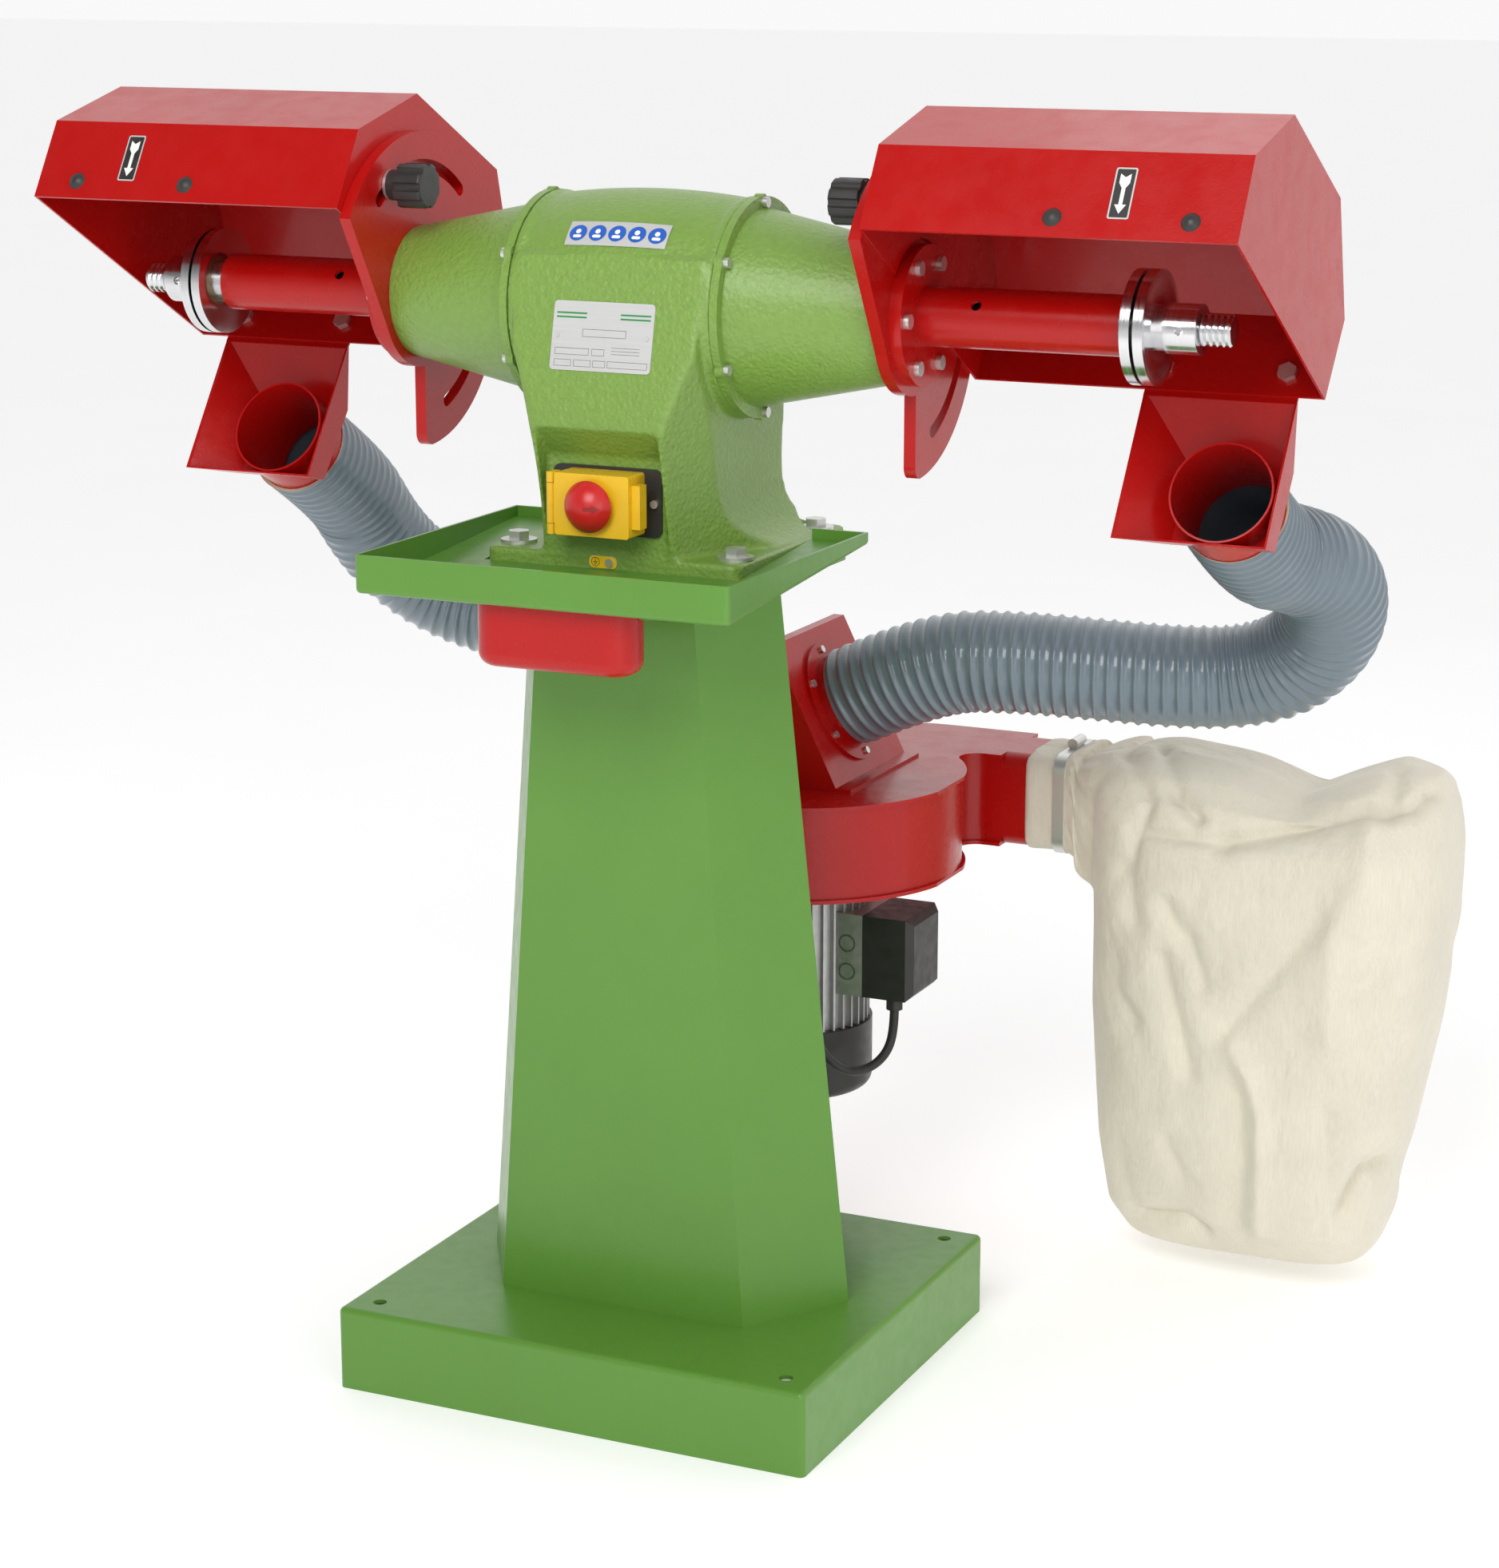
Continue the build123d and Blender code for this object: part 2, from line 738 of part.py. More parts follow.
def end_bell():
    """The right end bell: a bolted flange, a long cone and the hub of its bearing."""
    start = barrel_half_length
    flange_end = start + end_ring_width
    outline = [
        (start, bell_large_radius - bell_wall), (start, end_ring_radius), (flange_end, end_ring_radius),
        (flange_end, bell_large_radius), (bell_end, bell_small_radius),
        (bell_end, bell_small_radius - bell_wall), (flange_end, bell_large_radius - bell_wall),
    ]
    bell = turned(*outline)
    bearing_start = bell_end - bearing_from_bell_end
    slope = (bell_large_radius - bell_small_radius) / (bell_end - flange_end)
    hub_start = bearing_start - hub_wall
    hub_radius = bell_small_radius + slope * (bell_end - hub_start) - bell_wall / 2
    hub = turned(
        (hub_start, motor_shaft_radius + sliding_clearance * 4), (hub_start, hub_radius),
        (bell_end, bell_small_radius - bell_wall / 2), (bell_end, bearing_outer_radius),
        (bearing_start, bearing_outer_radius), (bearing_start, motor_shaft_radius + sliding_clearance * 4),
    )
    bell += hub
    for place in bell_bolt_places(flange_end):
        inner = (start, place[1], place[2])
        bell += rod(inner, place, bell_lug_radius) - spindle_rod(start, flange_end, bell_large_radius)
    for place in bell_bolt_places(flange_end):
        bell -= rod((start, place[1], place[2]), place, bell_bolt_radius + screw_clearance)
    for place in tube_screw_places(bell_end):
        inner = (bearing_start, place[1], place[2])
        bell -= rod(inner, place, tube_screw_radius + running_clearance)
    return bell


def tube_screw_places(x):
    """The places of the screws through a spindle tube's flange."""
    step = 360 / tube_screw_count
    angles = [step * index for index in range(tube_screw_count)]
    return [(x, *from_spindle(on_circle(tube_screw_circle, angle))) for angle in angles]


def arc_slot(start_angle, x_limits):
    """A curved slot round the spindle axis, with round ends."""
    inner = slot_radius - slot_half_width
    outer = slot_radius + slot_half_width
    ring = spindle_pipe(x_limits[0], x_limits[1], outer, inner)
    end_angle = start_angle + slot_sweep
    middle = start_angle + slot_sweep / 2
    reach = sector_radius * 2
    wedge = [(0, 0), on_circle(reach, start_angle), on_circle(reach, middle), on_circle(reach, end_angle)]
    slot = ring & side_plate([from_spindle(point) for point in wedge], x_limits)
    for angle in (start_angle, end_angle):
        y, z = from_spindle(on_circle(slot_radius, angle))
        slot += rod((x_limits[0], y, z), (x_limits[1], y, z), slot_half_width)
    return slot


def sector_plate():
    """The right sector plate: a round middle, a slotted fan above and a slotted tail below."""
    x_limits = (bell_end, tube_start)
    front = on_circle(sector_radius, sector_front_angle)
    notch = on_circle(sector_disc_radius, 180 + sector_front_angle / 4)
    tail_root = (sector_tail_front, sector_tip_radius - sector_disc_radius)
    region = [
        front, notch, tail_root, (sector_tail_front, -sector_radius), (sector_radius, -sector_radius),
        (sector_radius, sector_radius), (front[0], sector_radius),
    ]
    fan = side_plate([from_spindle(point) for point in region], x_limits)
    plate = fan & spindle_rod(*x_limits, sector_radius)
    tip = plate.edges().filter_by(Axis.X).sort_by(Axis.Z)[0]
    plate = fillet([tip], sector_tip_radius)
    plate += spindle_rod(*x_limits, sector_disc_radius)
    plate -= spindle_rod(*x_limits, sector_bore_radius)
    for start in (upper_slot_start, lower_slot_start):
        plate -= arc_slot(start, x_limits)
    for place in tube_screw_places(tube_start):
        plate -= rod((bell_end, place[1], place[2]), place, tube_screw_radius + screw_clearance)
    return plate


def spindle_tube():
    """The right spindle tube with its flange, bored for the nose bush."""
    flange_end = tube_start + tube_flange_thickness
    tube = spindle_rod(tube_start, flange_end, tube_flange_radius)
    tube += spindle_rod(flange_end, tube_end, tube_radius)
    tube -= spindle_rod(tube_start, tube_end, tube_radius - tube_wall)
    for place in tube_screw_places(flange_end):
        tube -= rod((tube_start, place[1], place[2]), place, tube_screw_radius + screw_clearance)
    hole_x = flange_end + grease_hole_from_flange
    aim = from_spindle(on_circle(tube_radius * 2, sector_front_angle))
    tube -= rod((hole_x, shaft_y, shaft_z), (hole_x, *aim), grease_hole_radius)
    return tube


def nose_bush():
    """The bush that carries the spindle at the right tube's end."""
    bore = nose_shaft_radius + running_clearance
    return spindle_pipe(tube_end - nose_bush_length, tube_end, tube_radius - tube_wall, bore)


def motor_bearing():
    """The right motor bearing, in the bell's hub."""
    start = bell_end - bearing_from_bell_end
    bore = motor_shaft_radius + running_clearance
    return spindle_pipe(start, start + bearing_width, bearing_outer_radius, bore)


def free_thread():
    """The right spindle end's coarse thread, as one round crest for each turn."""
    root = end_shaft_radius - thread_depth
    crest = end_shaft_radius
    outline = [(nut_end, 0), (nut_end, root)]
    for turn in range(free_turns):
        start = nut_end + turn * thread_pitch
        outline.append((start + thread_pitch * thread_rise_end, crest))
        outline.append((start + thread_pitch * thread_crest_end, crest))
        outline.append((start + thread_pitch * thread_fall_end, root))
    outline += [(shaft_end, root), (shaft_end, 0)]
    return turned(*outline)


def spindle_shaft():
    """The stepped spindle, the same at both ends, with a threaded end past each wheel flange."""
    shoulder = bell_end - bearing_from_bell_end + bearing_width
    shaft = spindle_rod(-shoulder, shoulder, motor_shaft_radius)
    for side in (-1, 1):
        shaft += spindle_rod(side * shoulder, side * (tube_end + sliding_clearance), nose_shaft_radius)
        shaft += spindle_rod(side * tube_end, side * nut_start, end_shaft_radius)
        shaft += spindle_rod(side * nut_start, side * nut_end, thread_core_radius)
    thread = free_thread()
    return shaft + thread + mirror(thread, about=Plane.YZ)


def inner_flange():
    """The right inner wheel flange, against the spindle's shoulder."""
    start = tube_end + sliding_clearance
    end = flange_face + wheel_flange_thickness
    flange = spindle_rod(start, flange_face, wheel_flange_boss_radius)
    flange += spindle_rod(flange_face, end, wheel_flange_radius)
    return flange - spindle_rod(start, end, end_shaft_radius + running_clearance)


def outer_flange():
    """The right outer wheel flange, with a boss towards the inner one and a dish in its outer face."""
    boss_start = flange_face + wheel_flange_thickness + seat_clearance
    face = outer_flange_start + wheel_flange_thickness
    bore = end_shaft_radius + running_clearance
    rim = wheel_flange_radius
    boss = wheel_flange_boss_radius
    inner_side = [(boss_start, bore), (boss_start, boss), (outer_flange_start, boss), (outer_flange_start, rim)]
    outer_side = [(face, rim), (face, rim - wheel_flange_dish * 2), (face - wheel_flange_dish, boss)]
    return turned(*inner_side, *outer_side, (nut_start, boss), (nut_start, bore))


def clamp_nut():
    """The right round clamp nut, with a cross hole for a bar."""
    nut = spindle_pipe(nut_start, nut_end, nut_radius, thread_core_radius + running_clearance)
    middle = (nut_start + nut_end) / 2
    front = (middle, shaft_y - nut_radius, shaft_z)
    return nut - rod(front, (middle, shaft_y, shaft_z), nut_bar_hole)


def hood():
    """The right hood: one folded sheet and two side plates, open to the front and below."""
    corners = [hood_lip, hood_brow, hood_crown, hood_back, hood_heel, hood_hem]
    outline = [from_spindle(point) for point in corners]
    side = side_plate(outline, (hood_start, hood_start + hood_sheet))
    side -= spindle_rod(hood_start, hood_start + hood_sheet, tube_flange_radius + hood_mouth_clearance)
    skin = side_plate(bent_sheet(outline, hood_sheet), (hood_start, hood_end))
    shell = side + skin + side_plate(outline, (hood_end - hood_sheet, hood_end))
    for angle in (knob_stud_angle, rear_stud_angle):
        y, z = from_spindle(on_circle(slot_radius, angle))
        shell -= rod((hood_start, y, z), (hood_start + hood_sheet, y, z), stud_radius + running_clearance)
    for start, end in plug_stems():
        shell -= rod(start, end, plug_radius / 2 + screw_clearance)
    return shell


def plug_direction():
    """The outward direction of the hood's front sheet, as (back, up)."""
    along = Vector(hood_brow[0] - hood_lip[0], hood_brow[1] - hood_lip[1]).normalized()
    return (-along.Y, along.X)


def plug_stems():
    """The inner and outer ends of the two plugs' stems in the front sheet."""
    share = plug_from_brow
    middle = [brow + (lip - brow) * share for brow, lip in zip(hood_brow, hood_lip)]
    out = plug_direction()
    y, z = from_spindle(middle)
    middle_x = hood_end - plug_from_hood_end
    stems = []
    for x in (middle_x - plug_spacing / 2, middle_x + plug_spacing / 2):
        inner = (x, y - out[0] * hood_sheet, z - out[1] * hood_sheet)
        stems.append((inner, (x, y, z)))
    return stems


def hood_plugs():
    """Two domed plugs in the right hood's front sheet."""
    out = plug_direction()
    plugs = []
    for inner, outer in plug_stems():
        ball_radius = (plug_radius ** 2 + plug_height ** 2) / (2 * plug_height)
        drop = ball_radius - plug_height
        centre = (outer[0], outer[1] - out[0] * drop, outer[2] - out[1] * drop)
        tip = (outer[0], outer[1] + out[0] * plug_height, outer[2] + out[1] * plug_height)
        dome = Pos(*centre) * Sphere(ball_radius) & rod(outer, tip, plug_radius)
        plugs.append(dome + rod(inner, outer, plug_radius / 2))
    return plugs


def hood_studs():
    """The right hood's two studs through the sector plate's slots, and the rear one's washer and nut."""
    pieces = []
    for angle, nut in ((knob_stud_angle, False), (rear_stud_angle, True)):
        y, z = from_spindle(on_circle(slot_radius, angle))
        seat = bell_end - seat_clearance
        inner = hood_start + hood_sheet
        grip = seat - knob_washer_thickness - (stud_nut_length if nut else knob_hub_length + knob_length / 2)
        stud = rod((grip, y, z), (inner + stud_head, y, z), stud_radius)
        stud += rod((inner, y, z), (inner + stud_head, y, z), stud_head_radius)
        bore = stud_radius + running_clearance
        washer = pipe((seat - knob_washer_thickness, y, z), (seat, y, z), knob_washer_radius, bore)
        pieces += [stud, washer]
        if nut:
            body = hexagon((grip, y, z), (seat - knob_washer_thickness, y, z), stud_nut_across_flats)
            pieces.append(body - rod((grip, y, z), (seat, y, z), bore))
    return pieces


def knob():
    """The right lobed clamp knob, on the stud of the upper slot."""
    y, z = from_spindle(on_circle(slot_radius, knob_stud_angle))
    seat = bell_end - seat_clearance - knob_washer_thickness
    grip = seat - knob_hub_length
    end = grip - knob_length
    body = rod((seat, y, z), (grip, y, z), knob_hub_radius) + rod((grip, y, z), (end, y, z), knob_radius)
    body = fillet(body.faces().sort_by(Axis.X)[0].edges(), knob_lobe_radius / 2)
    for index in range(knob_lobes):
        across, up = on_circle(knob_radius + knob_lobe_radius / 3, 360 * index / knob_lobes)
        body -= rod((grip, y + across, z + up), (end, y + across, z + up), knob_lobe_radius)
    bore_end = grip - knob_length / 2 - sliding_clearance
    return body - rod((seat, y, z), (bore_end, y, z), stud_radius + running_clearance)


def hem_slope():
    """The direction up the hood's hem sheet and its outward direction, as (back, up)."""
    up = Vector(hood_heel[0] - hood_hem[0], hood_heel[1] - hood_hem[1]).normalized()
    return up, Vector(up.Y, -up.X)


def chute_bolt_axes(start):
    """For each of a chute's two bolts, a function from a distance outside the hood's hem to a point."""
    up, out = hem_slope()
    y, z = from_spindle((hood_hem[0] + up.X * chute_bolt_rise, hood_hem[1] + up.Y * chute_bolt_rise))
    ends = (start + chute_bolt_inset, start + chute_width - chute_bolt_inset)
    return [lambda far, x=x: (x, y + out.X * far, z + out.Y * far) for x in ends]


def chute_bolts(start):
    """The two bolts that hold a chute to its hood's hem, with their heads inside the hood."""
    pieces = []
    for at in chute_bolt_axes(start):
        inside = -hood_sheet
        nut_end_face = chute_sheet + chute_bolt_nut
        bolt = hexagon(at(inside - chute_bolt_head), at(inside), chute_bolt_across_flats)
        bolt += rod(at(inside), at(nut_end_face), chute_bolt_radius)
        bore = rod(at(0), at(nut_end_face), chute_bolt_radius + running_clearance)
        nut = hexagon(at(chute_sheet), at(nut_end_face), chute_bolt_across_flats) - bore
        pieces += [bolt, nut]
    return pieces


def chute_bolt_holes(start):
    """The holes of a chute's two bolts, through the hood's hem and the chute's flange."""
    hole = chute_bolt_radius + screw_clearance
    return [rod(at(-hood_sheet), at(chute_sheet), hole) for at in chute_bolt_axes(start)]


def chute(start):
    """A hopper under a hood: open in front, narrowed on its left, with a pipe that runs back and down."""
    end = start + chute_width
    outlet = end - chute_outlet_width
    hem = from_spindle(hood_hem)
    lip = from_spindle(chute_lip)
    heel = from_spindle(chute_heel)
    back = from_spindle(chute_back)
    mouth = make_face(Polyline((start, *hem), (end, *hem), (end, *lip), (start, *lip), close=True))
    rear = make_face(Polyline((outlet, *back), (end, *back), (end, *heel), (outlet, *heel), close=True))
    solid = loft([mouth.faces()[0], rear.faces()[0]], ruled=True)
    opening = max(solid.faces(), key=lambda face: -face.normal_at().Y)
    hopper = offset(solid, -chute_sheet, openings=opening, kind=Kind.INTERSECTION)
    mouth_end, tail_end = chute_pipe_ends(end - pipe_from_chute_side)
    hopper -= rod(mouth_end, tail_end, pipe_outer_radius)
    hopper += pipe(mouth_end, tail_end, pipe_outer_radius, pipe_outer_radius - pipe_wall)
    up, out = hem_slope()
    root = chute_sheet * 3
    flange_root = (hood_hem[0] - up.X * root, hood_hem[1] - up.Y * root)
    flange_top = (hood_hem[0] + up.X * chute_flange, hood_hem[1] + up.Y * chute_flange)
    strip = bent_sheet([from_spindle(flange_root), from_spindle(flange_top)], chute_sheet)
    hopper += side_plate(strip, (start, end))
    for hole in chute_bolt_holes(start):
        hopper -= hole
    return hopper


def chute_pipe_ends(x):
    """The mouth and the tail end of a chute's pipe."""
    y, z = from_spindle(pipe_mouth)
    back, up = on_circle(pipe_length, -pipe_pitch)
    return (x, y, z), (x, y + back, z + up)


def fan_outline(grow):
    """The fan's plan: a round casing that opens into a straight duct, grown outwards where asked."""
    front = duct_front - fan_y
    turn = math.degrees(math.asin((front - tongue_radius) / (fan_radius + tongue_radius)))
    rear_radius = duct_rear - fan_y
    rear_x = rear_radius - fan_radius
    tongue = on_circle(fan_radius + tongue_radius, turn)
    tongue_middle = (tongue[0], fan_y + tongue[1])
    lines = [
        Line((duct_end, duct_rear), (rear_x, duct_rear)),
        CenterArc((rear_x, fan_y), rear_radius, 90, 90),
        CenterArc((0, fan_y), fan_radius, 180, 180 + turn),
        CenterArc(tongue_middle, tongue_radius, 180 + turn, -90 - turn),
        Line((tongue_middle[0], duct_front), (duct_end, duct_front)),
        Line((duct_end, duct_front), (duct_end, duct_rear)),
    ]
    face = make_face(lines)
    if grow:
        face = offset(face, grow, kind=Kind.INTERSECTION)
    return face


def plate_region():
    """The plan of the fan's flat plates: the casing's outline with a bead, up to the shaped duct."""
    left = -fan_radius * 2
    limit = Rectangle(duct_corner_start - left, duct_rear * 2, align=(Align.MIN, Align.MIN))
    return fan_outline(fan_bead) & Pos(left, 0) * limit


def duct_tube(grow, x_limits):
    """The round-cornered outlet, grown outwards by a distance, as a solid bar."""
    middle = ((duct_front + duct_rear) / 2, (fan_bottom + fan_top) / 2)
    width = duct_rear - duct_front + 2 * grow
    height = fan_top - fan_bottom + 2 * grow
    plane = side_plane(x_limits[0])
    section = plane * (Pos(*middle) * RectangleRounded(width, height, duct_corner_radius + grow))
    return extrude(section, x_limits[1] - x_limits[0])


def volute_housing():
    """The fan casing without its cover: bottom plate, spiral wall and outlet duct."""
    top = fan_top - fan_plate
    bottom = extrude(Pos(0, 0, fan_bottom) * plate_region(), fan_plate)
    ring = fan_outline(0) - fan_outline(-fan_sheet)
    wall = extrude(Pos(0, 0, fan_bottom + fan_plate) * ring, top - fan_bottom - fan_plate)
    wall -= block((duct_corner_start, duct_end), (duct_front, duct_rear), (fan_bottom, fan_top))
    duct_limits = (duct_corner_start, duct_end)
    casing = bottom + wall + duct_tube(0, duct_limits) - duct_tube(-fan_sheet, duct_limits)
    shaft_hole = fan_shaft_radius + sliding_clearance * 4
    return casing - rod((0, fan_y, fan_bottom), (0, fan_y, fan_bottom + fan_plate), shaft_hole)


def volute_cover():
    """The fan's cover plate, open at the eye under the inlet plenum."""
    cover = extrude(Pos(0, 0, fan_top - fan_plate) * plate_region(), fan_plate)
    return cover - rod((0, spigot_y, fan_top - fan_plate), (0, spigot_y, fan_top), impeller_eye_radius)


def impeller():
    """The fan wheel: a back disc, its hub and backward straight blades."""
    floor = fan_bottom + fan_plate + impeller_clearance
    top = fan_top - fan_plate - impeller_clearance
    hub = rod((0, fan_y, floor), (0, fan_y, top), impeller_hub_radius)
    wheel = rod((0, fan_y, floor), (0, fan_y, floor + impeller_blade_thickness), impeller_radius) + hub
    half = impeller_blade_thickness / 2
    blade = block((impeller_hub_radius - half, impeller_radius - half), (-half, half), (floor, top))
    for index in range(impeller_blades):
        wheel += Pos(0, fan_y, 0) * Rot(0, 0, 360 * index / impeller_blades) * blade
    return wheel - rod((0, fan_y, floor), (0, fan_y, top), fan_shaft_radius)


def fan_shaft():
    """The fan motor's shaft, with its rotor, up into the fan wheel."""
    top = fan_top - fan_plate - impeller_clearance
    low = fan_bottom - fan_motor_length + fan_motor_wall
    shaft = rod((0, fan_y, low), (0, fan_y, top), fan_shaft_radius)
    rotor_radius = fan_motor_radius - fan_motor_wall * 2 - air_gap
    rotor_low = low + fan_motor_wall * 2
    return shaft + rod((0, fan_y, rotor_low), (0, fan_y, fan_bottom - fan_motor_wall * 3), rotor_radius)


def fan_motor_body():
    """The finned fan motor under the casing, with its terminal base on the side."""
    low = fan_bottom - fan_motor_length
    body = rod((0, fan_y, low), (0, fan_y, fan_bottom), fan_motor_radius)
    half = fan_motor_fin_thickness / 2
    fin_limits = (low + fan_cowl_lap + sliding_clearance, fan_bottom - fan_motor_wall)
    fin = block((0, fan_motor_radius + fan_motor_fin), (-half, half), fin_limits)
    for index in range(fan_motor_fins):
        body += Pos(0, fan_y, 0) * Rot(0, 0, 360 * index / fan_motor_fins) * fin
    base_top = fan_bottom - terminal_below_fan
    base_limits = (fan_y - terminal_width / 2, fan_y + terminal_width / 2)
    x_limits = (fan_motor_radius / 2, fan_motor_radius + terminal_depth)
    body += block(x_limits, base_limits, (base_top - terminal_height, base_top))
    inner_low = low + fan_motor_wall
    bore = fan_motor_radius - fan_motor_wall * 2
    body -= rod((0, fan_y, inner_low), (0, fan_y, fan_bottom - fan_motor_wall), bore)
    return body - rod((0, fan_y, inner_low), (0, fan_y, fan_bottom), fan_shaft_radius + running_clearance)


def terminal_box():
    """The black terminal lid on the fan motor's base, with a bevelled outer face."""
    start = fan_motor_radius + terminal_depth
    top = fan_bottom - terminal_below_fan
    y_limits = (fan_y - terminal_width / 2, fan_y + terminal_width / 2)
    lid = block((start, start + terminal_lid_depth), y_limits, (top - terminal_height, top))
    return chamfer(lid.faces().sort_by(Axis.X)[-1].edges(), terminal_lid_chamfer)


def cable_glands():
    """The gland under the terminal box and the gland in the column's rear sheet."""
    x, y, z = cable_route[0]
    box_bottom = fan_bottom - terminal_below_fan - terminal_height
    bore = cable_radius + seat_clearance
    motor_gland = pipe((x, y, z), (x, y, box_bottom), gland_radius, bore)
    end = cable_route[-1]
    inner = column_rear - column_sheet
    column_gland = pipe((end[0], inner, end[2]), end, gland_radius, bore)
    collar_start = (end[0], column_rear, end[2])
    collar = pipe(collar_start, end, gland_radius + column_sheet, gland_radius)
    return motor_gland, column_gland + collar


def fan_cowl():
    """The cup over the fan motor's cooling end."""
    top = fan_bottom - fan_motor_length + fan_cowl_lap
    low = top - fan_cowl_length
    cup = rod((0, fan_y, low), (0, fan_y, top), fan_cowl_radius)
    cup = fillet(cup.faces().sort_by(Axis.Z)[0].edges(), fan_cowl_edge_radius)
    lap = (0, fan_y, top - fan_cowl_lap)
    hollow = rod((0, fan_y, low + fan_cowl_wall), lap, fan_cowl_radius - fan_cowl_wall)
    hollow = fillet(hollow.faces().sort_by(Axis.Z)[0].edges(), fan_cowl_edge_radius - fan_cowl_wall)
    return cup - hollow - rod(lap, (0, fan_y, top), fan_motor_radius)


def fan_bracket():
    """The angle bracket that carries the fan on the column's rear sheet."""
    half = bracket_width / 2
    plate_limits = (fan_bottom - bracket_drop, fan_bottom)
    face = column_rear + bracket_sheet
    end = column_rear + bracket_reach
    back = block((-half, half), (column_rear, face), plate_limits)
    shelf = block((-half, half), (face, end), (fan_bottom - bracket_sheet, fan_bottom))
    bracket = back + shelf
    outline = [(face, plate_limits[0]), (face, plate_limits[1]), (end, plate_limits[1])]
    for x in (-half, half - bracket_sheet):
        bracket += side_plate(outline, (x, x + bracket_sheet))
    room = fan_cowl_radius + column_sheet
    return bracket - rod((0, fan_y, plate_limits[0]), (0, fan_y, plate_limits[1]), room)


def plenum_corners():
    """The corners of the plenum's roof outline, as (X, Z)."""
    ridge = fan_top + plenum_height
    return [
        (-plenum_half_width, fan_top), (-plenum_ridge_half_width, ridge),
        (plenum_ridge_half_width, ridge), (plenum_half_width, fan_top),
    ]


def spigot_frame():
    """The middle of the right spigot on the plenum's sloping plate, and its outward direction."""
    run = plenum_half_width - plenum_ridge_half_width
    out = Vector(plenum_height, 0, run).normalized()
    x = plenum_half_width - run * spigot_up_plenum / plenum_height
    return Vector(x, spigot_y, fan_top + spigot_up_plenum), out


def inlet_plenum():
    """The roof-shaped box that leads both hoses into the fan's eye."""
    view = Plane(origin=(0, plenum_front, 0), x_dir=(1, 0, 0), z_dir=(0, -1, 0))
    length = plenum_rear - plenum_front
    corners = plenum_corners()
    skin = extrude(view * Polygon(*bent_sheet(corners, plenum_sheet), align=None), length, dir=(0, 1, 0))
    z_limits = (fan_top, fan_top + plenum_height)
    skin &= block((-fan_radius, fan_radius), (plenum_front, plenum_rear), z_limits)
    gable = extrude(view * Polygon(*corners, align=None), plenum_sheet, dir=(0, 1, 0))
    plenum = skin + gable + Pos(0, length - plenum_sheet, 0) * gable
    for side in (-1, 1):
        flange_edges = (plenum_half_width - plenum_sheet, plenum_half_width + plenum_flange)
        x_limits = sorted(side * edge for edge in flange_edges)
        plenum += block(x_limits, (plenum_front, plenum_rear), (fan_top, fan_top + plenum_sheet))
    middle, out = spigot_frame()
    hole_radius = pipe_outer_radius - spigot_wall
    hole = rod((middle - out * plenum_flange), (middle + out * plenum_flange), hole_radius)
    return plenum - hole - mirror(hole, about=Plane.YZ)


def hose_spigot():
    """The right hose spigot: a flange on the plenum's sloping plate and a short pipe."""
    middle, out = spigot_frame()
    face = middle + out * spigot_flange_thickness
    flange = rod(middle, face, spigot_flange_radius)
    flange += rod(face, (middle + out * spigot_length), pipe_outer_radius)
    bore = rod(middle, (middle + out * spigot_length), pipe_outer_radius - spigot_wall)
    return flange - bore


def spigot_screws():
    """The screws round the right spigot's flange."""
    middle, out = spigot_frame()
    across = Vector(0, 1, 0)
    up = out.cross(across)
    screws = []
    for index in range(spigot_screw_count):
        right, rise = on_circle(spigot_screw_circle, 360 * (index + 0.5) / spigot_screw_count)
        place = middle + out * spigot_flange_thickness + across * right + up * rise
        screws.append(rod(place, (place + out * small_screw_head), small_screw_radius))
    return screws


def dust_bag():
    """The cloth bag: a sleeve round the duct's end and a full, closed sack."""
    sleeve = duct_tube(seat_clearance + sleeve_wall, (sleeve_start, sleeve_end))
    sleeve -= duct_tube(seat_clearance, (sleeve_start, duct_end + seat_clearance))
    middle_x = (bag_left + bag_right) / 2
    sections = []
    for height_share, share in bag_levels:
        z = bag_bottom + (bag_top - bag_bottom) * height_share
        depth = bag_depth * share
        outline = RectangleRounded((bag_right - bag_left) * share, depth, depth * bag_corner_share)
        sections.append((Pos(middle_x, bag_middle_y, z) * outline).faces()[0])
    sack = loft(sections)
    sack -= duct_tube(seat_clearance, (sleeve_start, duct_end + seat_clearance))
    return sleeve + sack


def bag_clamp():
    """The steel band round the sleeve, with its worm screw on top."""
    start = sleeve_start + clamp_from_sleeve_start
    x_limits = (start, start + clamp_width)
    inner = seat_clearance + sleeve_wall
    band = duct_tube(inner + clamp_thickness, x_limits) - duct_tube(inner, x_limits)
    middle_y = (duct_front + duct_rear) / 2
    z = fan_top + inner + clamp_thickness / 2 + clamp_screw_radius
    x = start + clamp_width / 2
    reach = clamp_screw_length / 2
    worm = rod((x, middle_y - reach, z), (x, middle_y + reach, z), clamp_screw_radius)
    return band + worm


def bend_radii(points):
    """One radius for each corner of a route, as large as its two runs allow."""
    radii = []
    for a, b, c in zip(points, points[1:], points[2:]):
        before = Vector(*b) - Vector(*a)
        after = Vector(*c) - Vector(*b)
        half_turn = math.radians(before.get_angle(after) / 2)
        radii.append(bend_share * min(before.length, after.length) / math.tan(half_turn))
    return radii


def bent_path(name, points):
    """A route of straight runs and tangent arcs, with its radii printed."""
    radii = bend_radii(points)
    print(name, "bend radii", [round(radius) for radius in radii])
    return FilletPolyline(*points, radius=radii)


